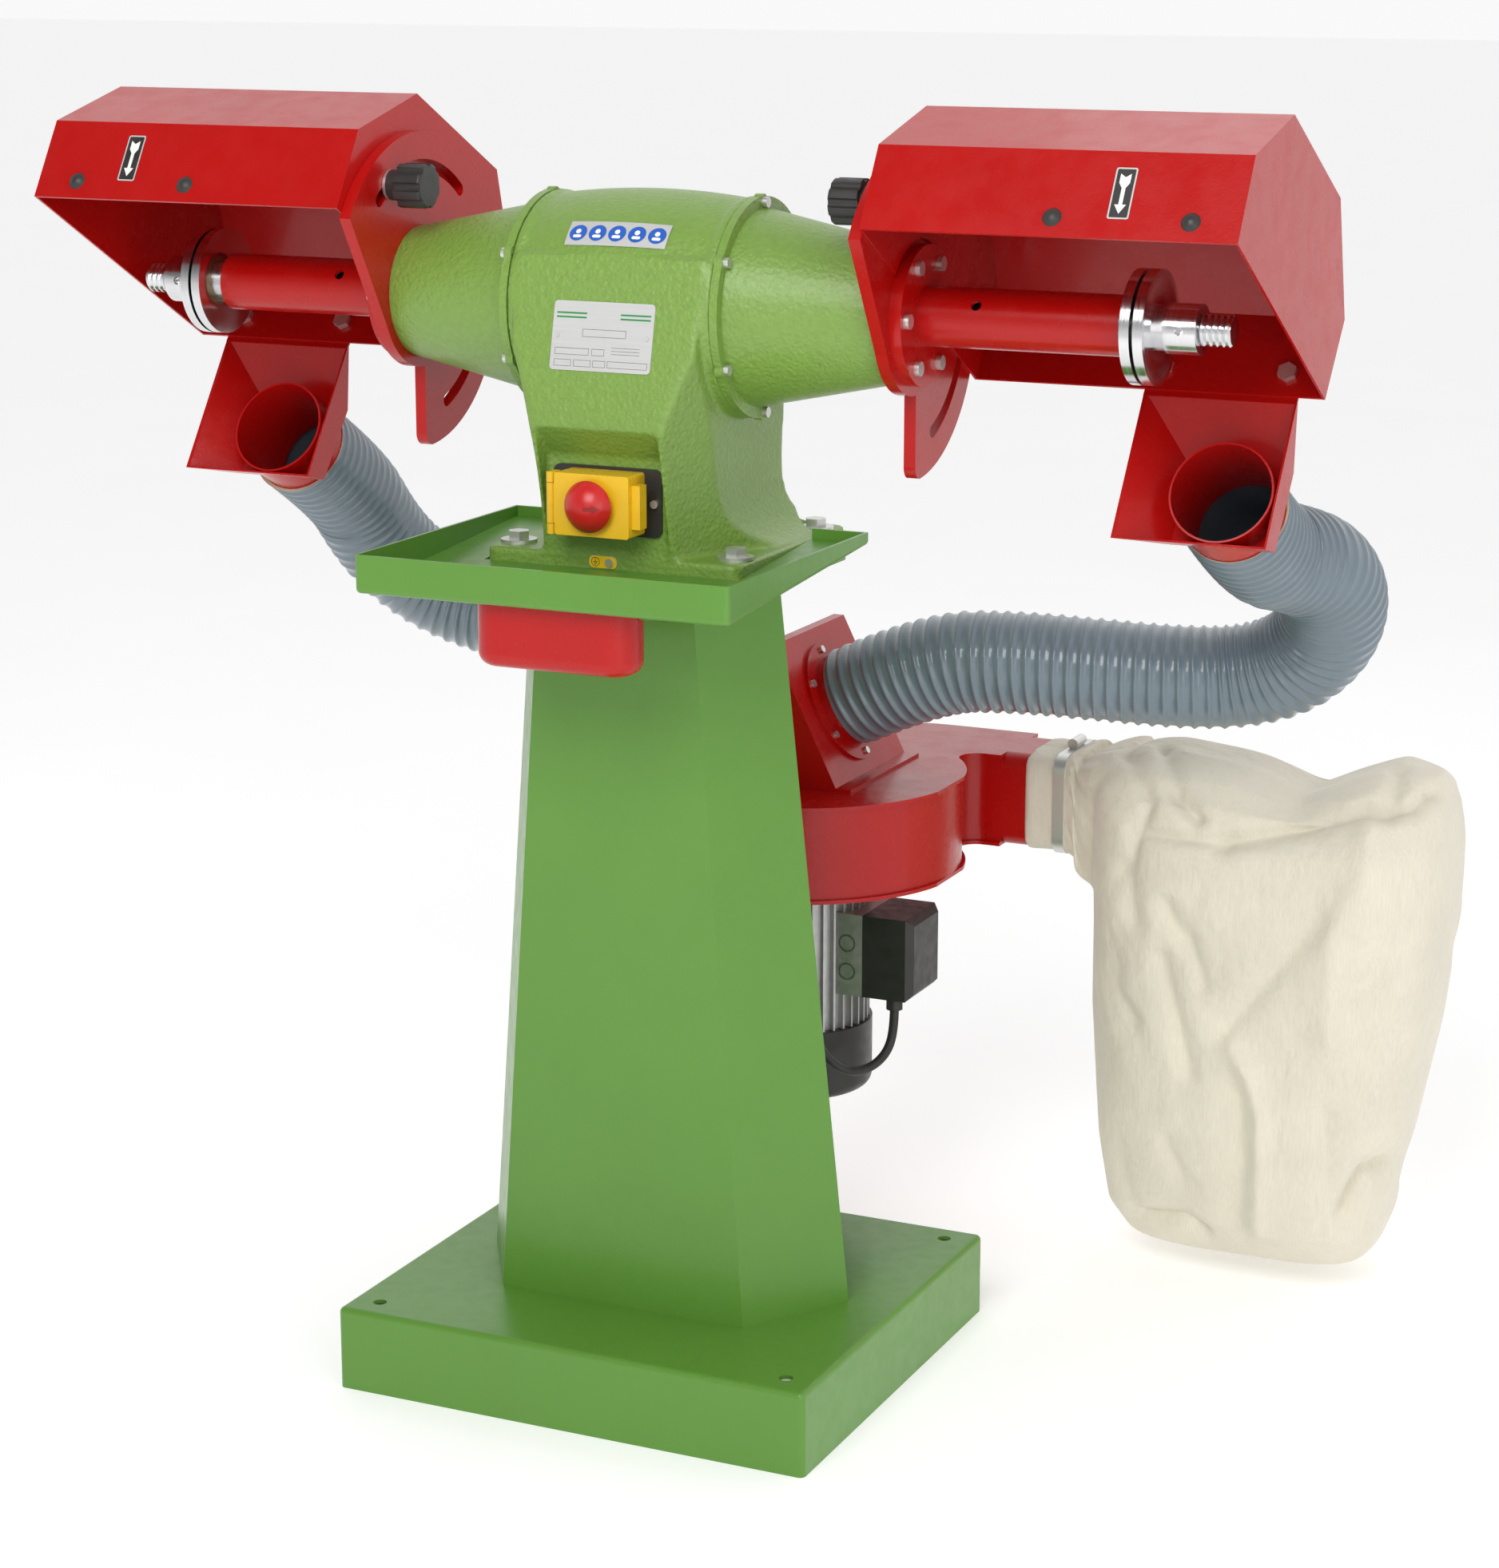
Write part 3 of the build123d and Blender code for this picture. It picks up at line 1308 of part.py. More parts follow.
def ribbed_hose(name, points):
    """A hose with rounded ribs and a plain bore along its route."""
    path = bent_path(name, points)
    ribs = round(path.length / hose_rib_pitch)
    shares = [(0, hose_root_radius), (hose_rib_rise_end, hose_outer_radius)]
    shares += [(hose_rib_crest_end, hose_outer_radius), (hose_rib_fall_end, hose_root_radius)]
    stations = [((rib + share) / ribs, radius) for rib in range(ribs) for share, radius in shares]
    stations.append((1, hose_root_radius))
    sections = []
    centres = []
    for place, radius in stations:
        plane = Plane(origin=path @ place, x_dir=hose_seam, z_dir=path % place)
        sections.append((plane * Circle(radius)).faces()[0])
        centres.append(path @ place)
    outside = loft(sections, ruled=True)
    bore = sweep(Plane(origin=path @ 0, z_dir=path % 0) * Circle(hose_bore()), path)
    far = [
        (a - b).length - 2 * hose_outer_radius
        for index, a in enumerate(centres) for b in centres[:index]
        if (index - centres.index(b)) * path.length / len(centres) > 4 * hose_outer_radius
    ]
    print(name, "ribs", ribs, "length", round(path.length), "least gap to itself", round(min(far), 1))
    return outside - bore


def hose_bore():
    """The hose's bore radius, which slips over a pipe."""
    return pipe_outer_radius + seat_clearance


def fan_cable():
    """The cable from the fan motor's gland into the column."""
    path = bent_path("fan_cable", cable_route)
    cable = sweep(Plane(origin=path @ 0, z_dir=path % 0) * Circle(cable_radius), path)
    share = cable.volume / (math.pi * cable_radius ** 2 * path.length)
    print("fan_cable length", round(path.length), "volume against section times length", round(share, 4))
    return cable


def switch_plate():
    """The black plate at the back of the recess, open for the switch."""
    y_limits = (recess_back - switch_plate_thickness, recess_back)
    half = switch_plate_width / 2
    rise = switch_plate_height / 2
    plate = block((switch_x - half, switch_x + half), y_limits, (switch_z - rise, switch_z + rise))
    plate = fillet(plate.edges().filter_by(Axis.Y), switch_plate_corner)
    for x, z in switch_screw_places():
        plate -= rod((x, y_limits[0], z), (x, y_limits[1], z), small_screw_radius / 2 + screw_clearance)
    return plate


def switch_screw_places():
    """The two places of the switch plate's screws, right and left of the switch."""
    reach = (switch_plate_width + switch_box_width) / 4 + small_screw_radius / 2
    return [(switch_x - reach, switch_z), (switch_x + reach, switch_z)]


def switch_levels():
    """The back, the inner panel and the front of the switch box, on Y."""
    back = recess_back - switch_plate_thickness
    front = back - switch_box_depth
    return back, front + switch_panel_depth, front


def button_places():
    """The places of the start and stop buttons, on X."""
    return switch_x - button_spacing / 2, switch_x + button_spacing / 2


def hinge_place():
    """The flap's hinge axis, as (X, Y)."""
    front = switch_levels()[2]
    return switch_x - switch_box_width / 2 - hinge_offset, front - flap_thickness / 2


def switch_box():
    """The yellow switch box, with a panel round the buttons and the ears and pin of the flap's hinge."""
    back, panel, front = switch_levels()
    half = switch_box_width / 2
    rise = switch_box_height / 2
    body = block((switch_x - half, switch_x + half), (front, back), (switch_z - rise, switch_z + rise))
    body = fillet(body.edges().filter_by(Axis.Y), switch_edge_radius)
    inside = half - switch_wall
    up = rise - switch_wall
    x_limits = (switch_x - inside, switch_x + inside)
    z_limits = (switch_z - up, switch_z + up)
    body -= block(x_limits, (front, panel), z_limits)
    body -= block(x_limits, (panel + switch_wall, back - switch_wall), z_limits)
    for x in button_places():
        hole = button_radius + sliding_clearance
        body -= rod((x, panel, switch_z), (x, panel + switch_wall, switch_z), hole)
    axis_x, axis_y = hinge_place()
    for low in (switch_z - rise, switch_z + rise - hinge_ear_height):
        high = low + hinge_ear_height
        x_limits = (axis_x - hinge_pin_radius, switch_x - half)
        body += block(x_limits, (axis_y, front + hinge_barrel_radius * 2), (low, high))
        body += rod((axis_x, axis_y, low), (axis_x, axis_y, high), hinge_barrel_radius)
    pin_ends = [(axis_x, axis_y, z) for z in (switch_z - rise, switch_z + rise)]
    body += rod(*pin_ends, hinge_pin_radius)
    right = switch_x + half
    reach = switch_latch_height / 2
    latch_limits = (right, right + switch_latch_reach)
    return body + block(latch_limits, (front, front + switch_latch_depth), (switch_z - reach, switch_z + reach))


def switch_flap():
    """The yellow flap over the buttons, hinged on its left and bored for the mushroom's stem."""
    front = switch_levels()[2] - seat_clearance
    face = front - flap_thickness
    half = switch_box_width / 2
    rise = switch_box_height / 2
    left = switch_x - half + sliding_clearance
    flap = block((left, switch_x + half), (face, front), (switch_z - rise, switch_z + rise))
    flap = fillet(flap.edges().filter_by(Axis.Y), switch_edge_radius)
    axis_x, axis_y = hinge_place()
    reach = rise - hinge_ear_height - sliding_clearance
    z_limits = (switch_z - reach, switch_z + reach)
    barrel_ends = [(axis_x, axis_y, z) for z in z_limits]
    web = block((axis_x, left + switch_edge_radius), (face + flap_thickness / 3, front), z_limits)
    flap += rod(*barrel_ends, hinge_barrel_radius) + web
    bore = hinge_pin_radius + running_clearance
    flap -= rod((axis_x, axis_y, switch_z - rise), (axis_x, axis_y, switch_z + rise), bore)
    stem_hole = mushroom_stem_radius + screw_clearance
    return flap - rod((switch_x, front, switch_z), (switch_x, face, switch_z), stem_hole)


def stop_mushroom():
    """The red mushroom head on the flap, with its stem through it."""
    front = switch_levels()[2] - seat_clearance
    face = front - flap_thickness
    under = face - mushroom_lift
    ball_radius = (mushroom_radius ** 2 + mushroom_height ** 2) / (2 * mushroom_height)
    centre_y = under - mushroom_height + ball_radius
    cap = Pos(switch_x, centre_y, switch_z) * Sphere(ball_radius)
    cap &= rod((switch_x, under, switch_z), (switch_x, under - mushroom_height, switch_z), mushroom_radius)
    stem_end = front + mushroom_stem_inside
    return cap + rod((switch_x, under, switch_z), (switch_x, stem_end, switch_z), mushroom_stem_radius)


def push_button(x):
    """One push button, standing proud of the switch's inner panel."""
    panel = switch_levels()[1]
    front = panel - button_proud
    button = rod((x, front, switch_z), (x, front + button_length, switch_z), button_radius)
    return fillet(button.faces().sort_by(Axis.Y)[0].edges(), button_radius / 10)


def panel_plane(z):
    """The leaning front panel's plane at a height, with X across, Y up the panel and Z outwards."""
    up = Vector(0, panel_top_front - chin_front, block_top - chin_z)
    share = (z - chin_z) / up.Z
    return Plane(origin=(0, chin_front + share * up.Y, z), x_dir=(1, 0, 0), z_dir=(0, -up.Z, up.Y))


def motor_plates():
    """The rating plate on the leaning panel and the earth tag on the foot's front."""
    plate = Box(rating_plate_width, rating_plate_height, rating_plate_thickness, align=ON_FLOOR)
    plate = fillet(plate.edges().filter_by(Axis.Z), rating_plate_corner)
    reach = rating_plate_width / 2 - rivet_radius * 3
    for x in (-reach, reach):
        plate += Pos(x, 0, 0) * Cylinder(rivet_radius, rating_plate_thickness * 2, align=ON_FLOOR)
    plate = panel_plane(shaft_z - rating_plate_below_shaft) * plate
    half = earth_tag_width / 2
    rise = earth_tag_height / 2
    middle = foot_top - rise - earth_tag_thickness / 2
    y_limits = (foot_front - earth_tag_thickness, foot_front)
    tag = block((earth_tag_x - half, earth_tag_x + half), y_limits, (middle - rise, middle + rise))
    return plate, fillet(tag.edges().filter_by(Axis.Y), rise - earth_tag_thickness)


def small_screws():
    """The switch plate's screws, the earth tag's screw and the spigots' screws."""
    face = recess_back - switch_plate_thickness
    screws = []
    for x, z in switch_screw_places():
        screws.append(rod((x, face, z), (x, face - small_screw_head, z), small_screw_radius))
    tag_face = foot_front - earth_tag_thickness
    x = earth_tag_x + earth_tag_width / 4
    z = foot_top - (earth_tag_height + earth_tag_thickness) / 2
    screws.append(rod((x, tag_face, z), (x, tag_face - small_screw_head, z), small_screw_radius))
    right = spigot_screws()
    return screws + right + [mirror(piece, about=Plane.YZ) for piece in right]


def motor_screws():
    """The right end's screws: through the bell's flange and through the spindle tube's flange."""
    screws = []
    flange_end = barrel_half_length + end_ring_width
    head_radius = bell_bolt_radius * screw_head_share
    length = end_ring_width * 2
    for place in bell_bolt_places(flange_end):
        screws.append(screw(place, (1, 0, 0), bell_bolt_radius, tube_screw_head, head_radius, length))
    head_radius = tube_screw_radius * screw_head_share
    length = tube_flange_thickness + sector_thickness + tube_screw_grip
    for place in tube_screw_places(tube_start + tube_flange_thickness):
        screws.append(screw(place, (1, 0, 0), tube_screw_radius, tube_screw_head, head_radius, length))
    return screws


def both(piece):
    """A piece of the right end and its mirrored twin on the left."""
    return piece, mirror(piece, about=Plane.YZ)


save("base_plinth", base_plinth())
front_sheet, rear_sheet = column_sheets()
save("column_front", front_sheet)
save("column_rear", rear_sheet)
save("head_plate", head_plate())
save("drip_tray", drip_tray())
save("pot_runners", *pot_runners())
save("drip_pot", drip_pot())
save("motor_housing", motor_housing())
save("foot_bolts", *[
    piece for place in foot_bolt_places(foot_top)
    for piece in hexagon_bolt(place, foot_bolt_across_flats, foot_bolt_head, foot_washer_radius,
                              foot_washer_thickness, foot_bolt_size, foot_thickness + head_plate_thickness)
])
for make in (end_bell, sector_plate, spindle_tube):
    for side, piece in zip(("right", "left"), both(make())):
        save(f"{side}_{make.__name__}", piece)
save("motor_screws", *[piece for right_piece in motor_screws() for piece in both(right_piece)])
save("stator_core", spindle_pipe(-stator_half_length, stator_half_length, barrel_bore, stator_inner_radius))
winding_outer = barrel_bore - seat_clearance * 10
save("stator_windings", *both(spindle_pipe(stator_half_length, stator_half_length + winding_length,
                                           winding_outer, winding_outer - winding_wall)))
save("motor_bearings", *both(motor_bearing()))
save("nose_bushes", *both(nose_bush()))
save("spindle_shaft", spindle_shaft())
rotor_radius = stator_inner_radius - air_gap
save("rotor_core", spindle_pipe(-stator_half_length, stator_half_length, rotor_radius, motor_shaft_radius))
save("inner_flanges", *both(inner_flange()))
save("outer_flanges", *both(outer_flange()))
save("clamp_nuts", *both(clamp_nut()))
chute_starts = (right_chute_start, left_chute_start)
for side, shell, chute_start in zip(("right", "left"), both(hood()), chute_starts):
    for hole in chute_bolt_holes(chute_start):
        shell -= hole
    save(f"{side}_hood", shell)
    save(f"{side}_chute", chute(chute_start))
for side, chute_start in zip(("right", "left"), chute_starts):
    studs = [both(piece)[side == "left"] for piece in hood_studs()]
    save(f"{side}_hood_studs", *studs, *chute_bolts(chute_start))
    save(f"{side}_hood_plugs", *[both(piece)[side == "left"] for piece in hood_plugs()])
    save(f"{side}_knob", both(knob())[side == "left"])
save("switch_plate", switch_plate())
save("switch_box", switch_box())
save("switch_flap", switch_flap())
save("stop_mushroom", stop_mushroom())
start_x, stop_x = button_places()
save("start_button", push_button(start_x))
save("stop_button", push_button(stop_x))
save("motor_plates", *motor_plates())
save("small_screws", *small_screws())
save("fan_bracket", fan_bracket())
save("volute_housing", volute_housing())
save("volute_cover", volute_cover())
save("impeller", impeller())
save("fan_shaft", fan_shaft())
save("fan_motor_body", fan_motor_body())
save("terminal_box", terminal_box())
save("cable_glands", *cable_glands())
save("fan_cowl", fan_cowl())
save("inlet_plenum", inlet_plenum())
save("hose_spigots", *both(hose_spigot()))
save("dust_bag", dust_bag())
save("bag_clamp", bag_clamp())
save("right_hose", ribbed_hose("right_hose", right_hose_route))
save("left_hose", ribbed_hose("left_hose", left_hose_route))
save("fan_cable", fan_cable())
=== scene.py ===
"""Looks of a pedestal polishing machine: paint, castings, hoses, dust bag, plates and a plain studio."""
import math

import bmesh
import bpy
import numpy as np
from bpy.props import FloatProperty, FloatVectorProperty, IntProperty, PointerProperty
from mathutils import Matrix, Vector


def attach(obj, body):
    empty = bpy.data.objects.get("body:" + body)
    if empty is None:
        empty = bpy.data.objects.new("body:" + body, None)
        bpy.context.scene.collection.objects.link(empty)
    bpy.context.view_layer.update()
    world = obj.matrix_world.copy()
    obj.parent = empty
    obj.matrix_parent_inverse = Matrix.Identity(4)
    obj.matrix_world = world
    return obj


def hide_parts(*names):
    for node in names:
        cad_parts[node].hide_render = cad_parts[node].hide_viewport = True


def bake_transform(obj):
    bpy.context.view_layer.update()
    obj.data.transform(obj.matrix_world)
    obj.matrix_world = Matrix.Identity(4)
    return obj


bl_info = {
    "name": "Pedestal polisher looks",
    "version": (1, 0, 0),
    "blender": (4, 5, 0),
    "location": "View3D > Sidebar > Polisher",
    "description": "Dresses the packed polishing machine with its paint, hoses, bag and plates",
    "category": "Object",
}

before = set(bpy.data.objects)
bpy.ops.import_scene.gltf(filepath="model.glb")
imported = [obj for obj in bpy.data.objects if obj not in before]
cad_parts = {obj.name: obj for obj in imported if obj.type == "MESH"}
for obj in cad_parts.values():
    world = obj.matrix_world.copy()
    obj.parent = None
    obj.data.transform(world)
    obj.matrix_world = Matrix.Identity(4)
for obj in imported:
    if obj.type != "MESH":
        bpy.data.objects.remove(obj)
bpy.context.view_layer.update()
# Routes, levels, folds and other places are in millimetres, and the settings in metres
MM = 0.001
# The motor's shaft, and its barrel's radius, the drop of its crown and its half length
SHAFT = Vector((0, -16, 1097.5))
BARREL_RADIUS, BARREL_CROWN, BARREL_HALF_LENGTH = 110, 8, 108
# The stop mushroom's radius, the height of its dome and the place of its crest
MUSHROOM_RADIUS, MUSHROOM_RISE = 25, 16
MUSHROOM_CREST = Vector((0, -180.3, 918))

RIGHT_HOSE_ROUTE = [
    (56, 340, 638), (155, 340, 687), (250, 350, 692), (335, 366, 688), (414, 384, 684), (474, 406, 685),
    (529, 409, 703), (569, 395, 742), (587, 361, 788), (584, 311, 826), (563, 262, 843), (549, 216, 854),
    (549, 120, 909),
]
LEFT_HOSE_ROUTE = [
    (-56, 340, 638), (-155, 340, 687), (-250, 342, 692), (-330, 340, 695), (-395, 334, 704),
    (-447, 320, 724), (-482, 296, 757), (-497, 262, 800), (-498, 216, 854), (-498, 120, 909),
]
# Rings of points to each rib and to each ring of the bore, and a direction that no hose sets out along
RINGS_PER_RIB = 12
RINGS_PER_BORE_RING = 7
HOSE_SIDE_HINT = (0.0, 0.5, 0.87)
# Levels of the bag: height, left, right, front and rear limits
BAG_LEVELS = [
    (30, 392, 612, 440, 568), (42, 366, 638, 412, 596), (75, 343, 650, 394, 614), (150, 330, 664, 385, 623),
    (300, 317, 692, 381, 629), (430, 313, 706, 380, 630), (510, 312, 706, 384, 626),
    (550, 314, 702, 398, 612), (576, 330, 694, 425, 585), (590, 352, 686, 470, 545),
]
# Rings from level to level, points round each ring, how square the rings are, and passes that soften the form
BAG_STEPS = 8
BAG_POINTS = 96
BAG_SQUARENESS = 3.6
BAG_PASSES = 6
# The level whose depth places the rear folds
BAG_MIDDLE_LEVEL = 4
# Folds of the bag: width, depth (negative stands out) and the line it follows; the rear repeats them lower
FOLD_SHARPNESS = 1.4
REAR_FOLD_DROP = 30
BAG_FOLDS = [
    (8, 7, [(343, 475, 583), (390, 404, 552), (385, 394, 528), (376, 387, 482), (349, 390, 454)]),
    (9, 9, [(382, 484, 590), (421, 408, 559), (447, 394, 539)]),
    (9, 7, [(375, 391, 517), (429, 387, 517), (477, 386, 517)]),
    (11, 9, [(478, 386, 517), (565, 396, 541), (640, 423, 565)]),
    (9, 12, [(630, 421, 565), (644, 422, 562), (671, 438, 566), (685, 469, 577)]),
    (10, 8, [(643, 486, 590), (650, 452, 581), (648, 423, 562)]),
    (48, 10, [(545, 420, 585), (545, 560, 590)]),
    (40, -3, [(385, 480, 590), (385, 540, 590)]),
    (28, -5, [(640, 470, 588), (640, 540, 588)]),
    (20, -6, [(634, 409, 552), (636, 395, 493), (606, 386, 432), (606, 388, 313)]),
    (13, 6, [(593, 384, 440), (542, 381, 375), (489, 381, 299)]),
    (12, -7, [(494, 381, 295), (520, 382, 264), (534, 384, 217), (536, 394, 81)]),
    (14, 5, [(512, 382, 236), (518, 384, 160), (512, 394, 90)]),
    (10, 8, [(687, 458, 415), (653, 403, 387), (608, 388, 356)]),
    (11, 5, [(685, 437, 479), (649, 400, 404)]),
    (9, 7, [(344, 390, 382), (359, 387, 350)]),
    (9, 6, [(348, 390, 339), (384, 384, 301)]),
    (9, 6, [(337, 394, 274), (347, 392, 245)]),
    (11, 6, [(369, 387, 468), (381, 383, 414)]),
    (11, 5, [(420, 381, 437), (439, 380, 405)]),
    (12, 6, [(418, 381, 376), (442, 381, 292), (452, 382, 249)]),
    (11, 5, [(447, 380, 406), (466, 381, 356)]),
    (9, 9, [(380, 403, 67), (449, 394, 80), (470, 400, 64)]),
    (12, 5, [(427, 385, 165), (449, 388, 123)]),
    (12, 6, [(363, 394, 126), (382, 400, 70)]),
    (14, 15, [(660, 450, 158), (647, 422, 158), (637, 415, 135), (629, 413, 108)]),
    (14, 5, [(604, 391, 225), (610, 399, 136)]),
    (14, 3, [(511, 381, 289), (599, 387, 295), (667, 424, 308)]),
]
# The duct under the sleeve: front, rear, lower and upper limits
DUCT = (480, 590, 451, 556)
DUCT_SQUARENESS = 6
# Stations of the sleeve: distance along X, growth over the duct
SLEEVE_STATIONS = [(206, 4.5), (228, 2.8), (250, 2.8), (262, 6), (277, 13), (300, 23), (330, 29)]
# Where along X the clamp's hold on the sleeve ends, and over what distance it fades
SLEEVE_HOLD_END, SLEEVE_HOLD_FADE = 300, 40
CLOTH_SETTINGS = {
    "quality": 6, "mass": 0.4, "tension_stiffness": 25, "compression_stiffness": 25, "shear_stiffness": 15,
    "bending_stiffness": 3,
}
CABLE_ROUTE = [
    (128, 300, 304), (128, 299, 276), (123, 287, 253), (111, 264, 242), (97, 238, 246), (84, 213, 268),
    (76, 196, 302), (71, 186, 338), (70, 170, 359), (70, 150, 360),
]
# Mesh size of the cast skin, in metres, and the passes that soften it
CASTING_VOXEL = 0.0025
CASTING_PASSES = 10
# Side of the squares that a plate is cut into
PATCH_STEP = 3
# The span that most of a noise's values fall in
NOISE_LOW, NOISE_HIGH = 0.3, 0.7
# The camera's place, in metres, its sensor's width in millimetres, and how far it sees, in metres
CAMERA_PLACE = (1.5417, -3.1063, 1.4639)
SENSOR_WIDTH = 36
SIGHT_LIMIT = 120
# Middle of the surroundings' dim side, and the nearness to it, as a cosine, where it starts and is full
DIM_MIDDLE = (-0.2, -0.62, 0.76)
DIM_START, DIM_FULL = 0.5, 0.9


def colour(name, description, default):
    """A colour property, in linear light."""
    return FloatVectorProperty(
        name=name, description=description, subtype="COLOR", size=3, min=0, max=1, default=default)


class PolisherPaint(bpy.types.PropertyGroup):
    """Colours of the machine's finishes."""
    sheet_green: colour("Sheet green", "Powder coat on the column, plinth and tray", (0.102, 0.26, 0.033))
    casting_green: colour("Casting green", "Hammered coat on the motor and end bells", (0.18, 0.315, 0.05))
    red: colour("Red", "Gloss coat on the hoods, chutes, fan and spindle tubes", (0.43, 0.004, 0.003))
    hose_grey: colour("Hose grey", "Soft plastic of the ribbed hoses", (0.14, 0.185, 0.22))
    cloth: colour("Cloth", "Unbleached filter cloth of the bag", (0.74, 0.69, 0.57))
    switch_yellow: colour("Switch yellow", "Moulded switch box and flap", (0.83, 0.5, 0.012))
    black: colour("Black", "Moulded knobs, plugs and covers", (0.022, 0.021, 0.02))


class PolisherHoses(bpy.types.PropertyGroup):
    """Sizes of the ribbed hoses and the fan's cable."""
    outer: FloatProperty(name="Outer radius", description="Over the ribs", unit="LENGTH", default=0.055)
    root: FloatProperty(name="Root radius", description="Between the ribs", unit="LENGTH", default=0.0522)
    bore: FloatProperty(name="Bore radius", description="Inside the hose", unit="LENGTH", default=0.0513)
    pitch: FloatProperty(name="Rib pitch", description="From rib to rib", unit="LENGTH", default=0.014)
    rib_width: FloatProperty(
        name="Rib width", description="As a share of the pitch", subtype="FACTOR", default=0.2)
    sides: IntProperty(name="Sides", description="Points round the hose", default=72)
    cable: FloatProperty(name="Cable radius", description="Fan motor's cable", unit="LENGTH", default=0.005)


class PolisherBag(bpy.types.PropertyGroup):
    """How full and how creased the dust bag is."""
    voxel: FloatProperty(
        name="Mesh size", description="Cloth mesh before simulation", unit="LENGTH", default=0.005)
    creases: FloatProperty(
        name="Creases", description="Depth of the folds, as a share of the listed depth", default=1.7)
    thickness: FloatProperty(name="Thickness", description="Of the cloth", unit="LENGTH", default=0.0012)
    pressure: FloatProperty(name="Pressure", description="Air pressure in the bag", default=1.2)
    slack: FloatProperty(
        name="Slack", description="Spare cloth, as a share of its size", subtype="FACTOR", default=0.05)
    steps: IntProperty(name="Steps", description="Frames of cloth simulation", default=20)
    reach: FloatProperty(name="Reach", description="Farthest a point may move", unit="LENGTH", default=0.02)


class PolisherStudio(bpy.types.PropertyGroup):
    """The camera and lights."""
    lens: FloatProperty(name="Lens", description="Focal length", unit="CAMERA", default=81.04)
    yaw: FloatProperty(
        name="Yaw", description="Turn to the left of straight ahead", subtype="ANGLE",
        default=math.radians(25))
    pitch: FloatProperty(
        name="Pitch", description="Tilt down", subtype="ANGLE", default=math.radians(13.83))
    key: FloatProperty(name="Key light", description="Power of the large light", unit="POWER", default=82)
    fill: FloatProperty(name="Fill light", description="Power of the side lights", unit="POWER", default=16)
    floor: FloatProperty(name="Floor", description="Half the floor's side", unit="LENGTH", default=40)
    pale: FloatProperty(
        name="Pale side", description="Strength of the surroundings all round", default=0.95)
    dim: FloatProperty(
        name="Dim side", description="Strength of the surroundings high in front", default=0.15)


class Finish:
    """A material under way: a surface shader and short calls that add texture nodes to it."""

    def __init__(self, name):
        self.material = bpy.data.materials.new(name)
        self.material.use_nodes = True
        self.nodes = self.material.node_tree.nodes
        self.links = self.material.node_tree.links
        self.surface = self.nodes["Principled BSDF"]
        self.place = self.nodes.new("ShaderNodeTexCoord").outputs["Object"]

    def set(self, **sockets):
        """Set constant values on the surface's own sockets."""
        for name, value in sockets.items():
            self.surface.inputs[name.replace("_", " ")].default_value = value
        return self

    def stretched(self, scale):
        """The object's coordinates, stretched per axis."""
        node = self.nodes.new("ShaderNodeMapping")
        node.inputs["Scale"].default_value = scale
        self.links.new(self.place, node.inputs["Vector"])
        return node.outputs["Vector"]

    def noise(self, scale, detail=3, place=None):
        """Soft random spots, so many to the metre."""
        node = self.nodes.new("ShaderNodeTexNoise")
        node.inputs["Scale"].default_value = scale
        node.inputs["Detail"].default_value = detail
        self.links.new(place or self.place, node.inputs["Vector"])
        return node.outputs["Fac"]

    def cells(self, scale):
        """Distance to the nearest of many scattered points, as in hammered paint."""
        node = self.nodes.new("ShaderNodeTexVoronoi")
        node.feature = "SMOOTH_F1"
        node.inputs["Scale"].default_value = scale
        node.inputs["Smoothness"].default_value = 0.8
        self.links.new(self.place, node.inputs["Vector"])
        return node.outputs["Distance"]

    def waves(self, scale, direction):
        """Even bands across a direction."""
        node = self.nodes.new("ShaderNodeTexWave")
        node.bands_direction = direction
        node.inputs["Scale"].default_value = scale
        self.links.new(self.place, node.inputs["Vector"])
        return node.outputs["Fac"]

    def between(self, value, low, high):
        """A noise's usual span, mapped to another."""
        node = self.nodes.new("ShaderNodeMapRange")
        spans = (("From Min", NOISE_LOW), ("From Max", NOISE_HIGH), ("To Min", low), ("To Max", high))
        for name, number in spans:
            node.inputs[name].default_value = number
        self.links.new(value, node.inputs["Value"])
        return node.outputs["Result"]

    def joined(self, first, second):
        """The sum of two values."""
        node = self.nodes.new("ShaderNodeMath")
        node.operation = "ADD"
        for socket, value in zip(node.inputs, (first, second)):
            self.links.new(value, socket)
        return node.outputs["Value"]

    def tint(self, value, first, second):
        """Send a mix of two colours to the surface."""
        node = self.nodes.new("ShaderNodeMix")
        node.data_type = "RGBA"
        node.inputs["A"].default_value = (*first, 1)
        node.inputs["B"].default_value = (*second, 1)
        self.links.new(value, node.inputs["Factor"])
        self.links.new(node.outputs["Result"], self.surface.inputs["Base Color"])
        return self

    def rough(self, value, low, high):
        """Vary the roughness."""
        self.links.new(self.between(value, low, high), self.surface.inputs["Roughness"])
        return self

    def bump(self, height, distance, strength=1):
        """Raise the surface by a height map."""
        node = self.nodes.new("ShaderNodeBump")
        node.inputs["Strength"].default_value = strength
        node.inputs["Distance"].default_value = distance
        self.links.new(height, node.inputs["Height"])
        self.links.new(node.outputs["Normal"], self.surface.inputs["Normal"])
        return self


def shade(rgb, amount):
    """A colour made lighter or darker."""
    return tuple(min(1, channel * amount) for channel in rgb)


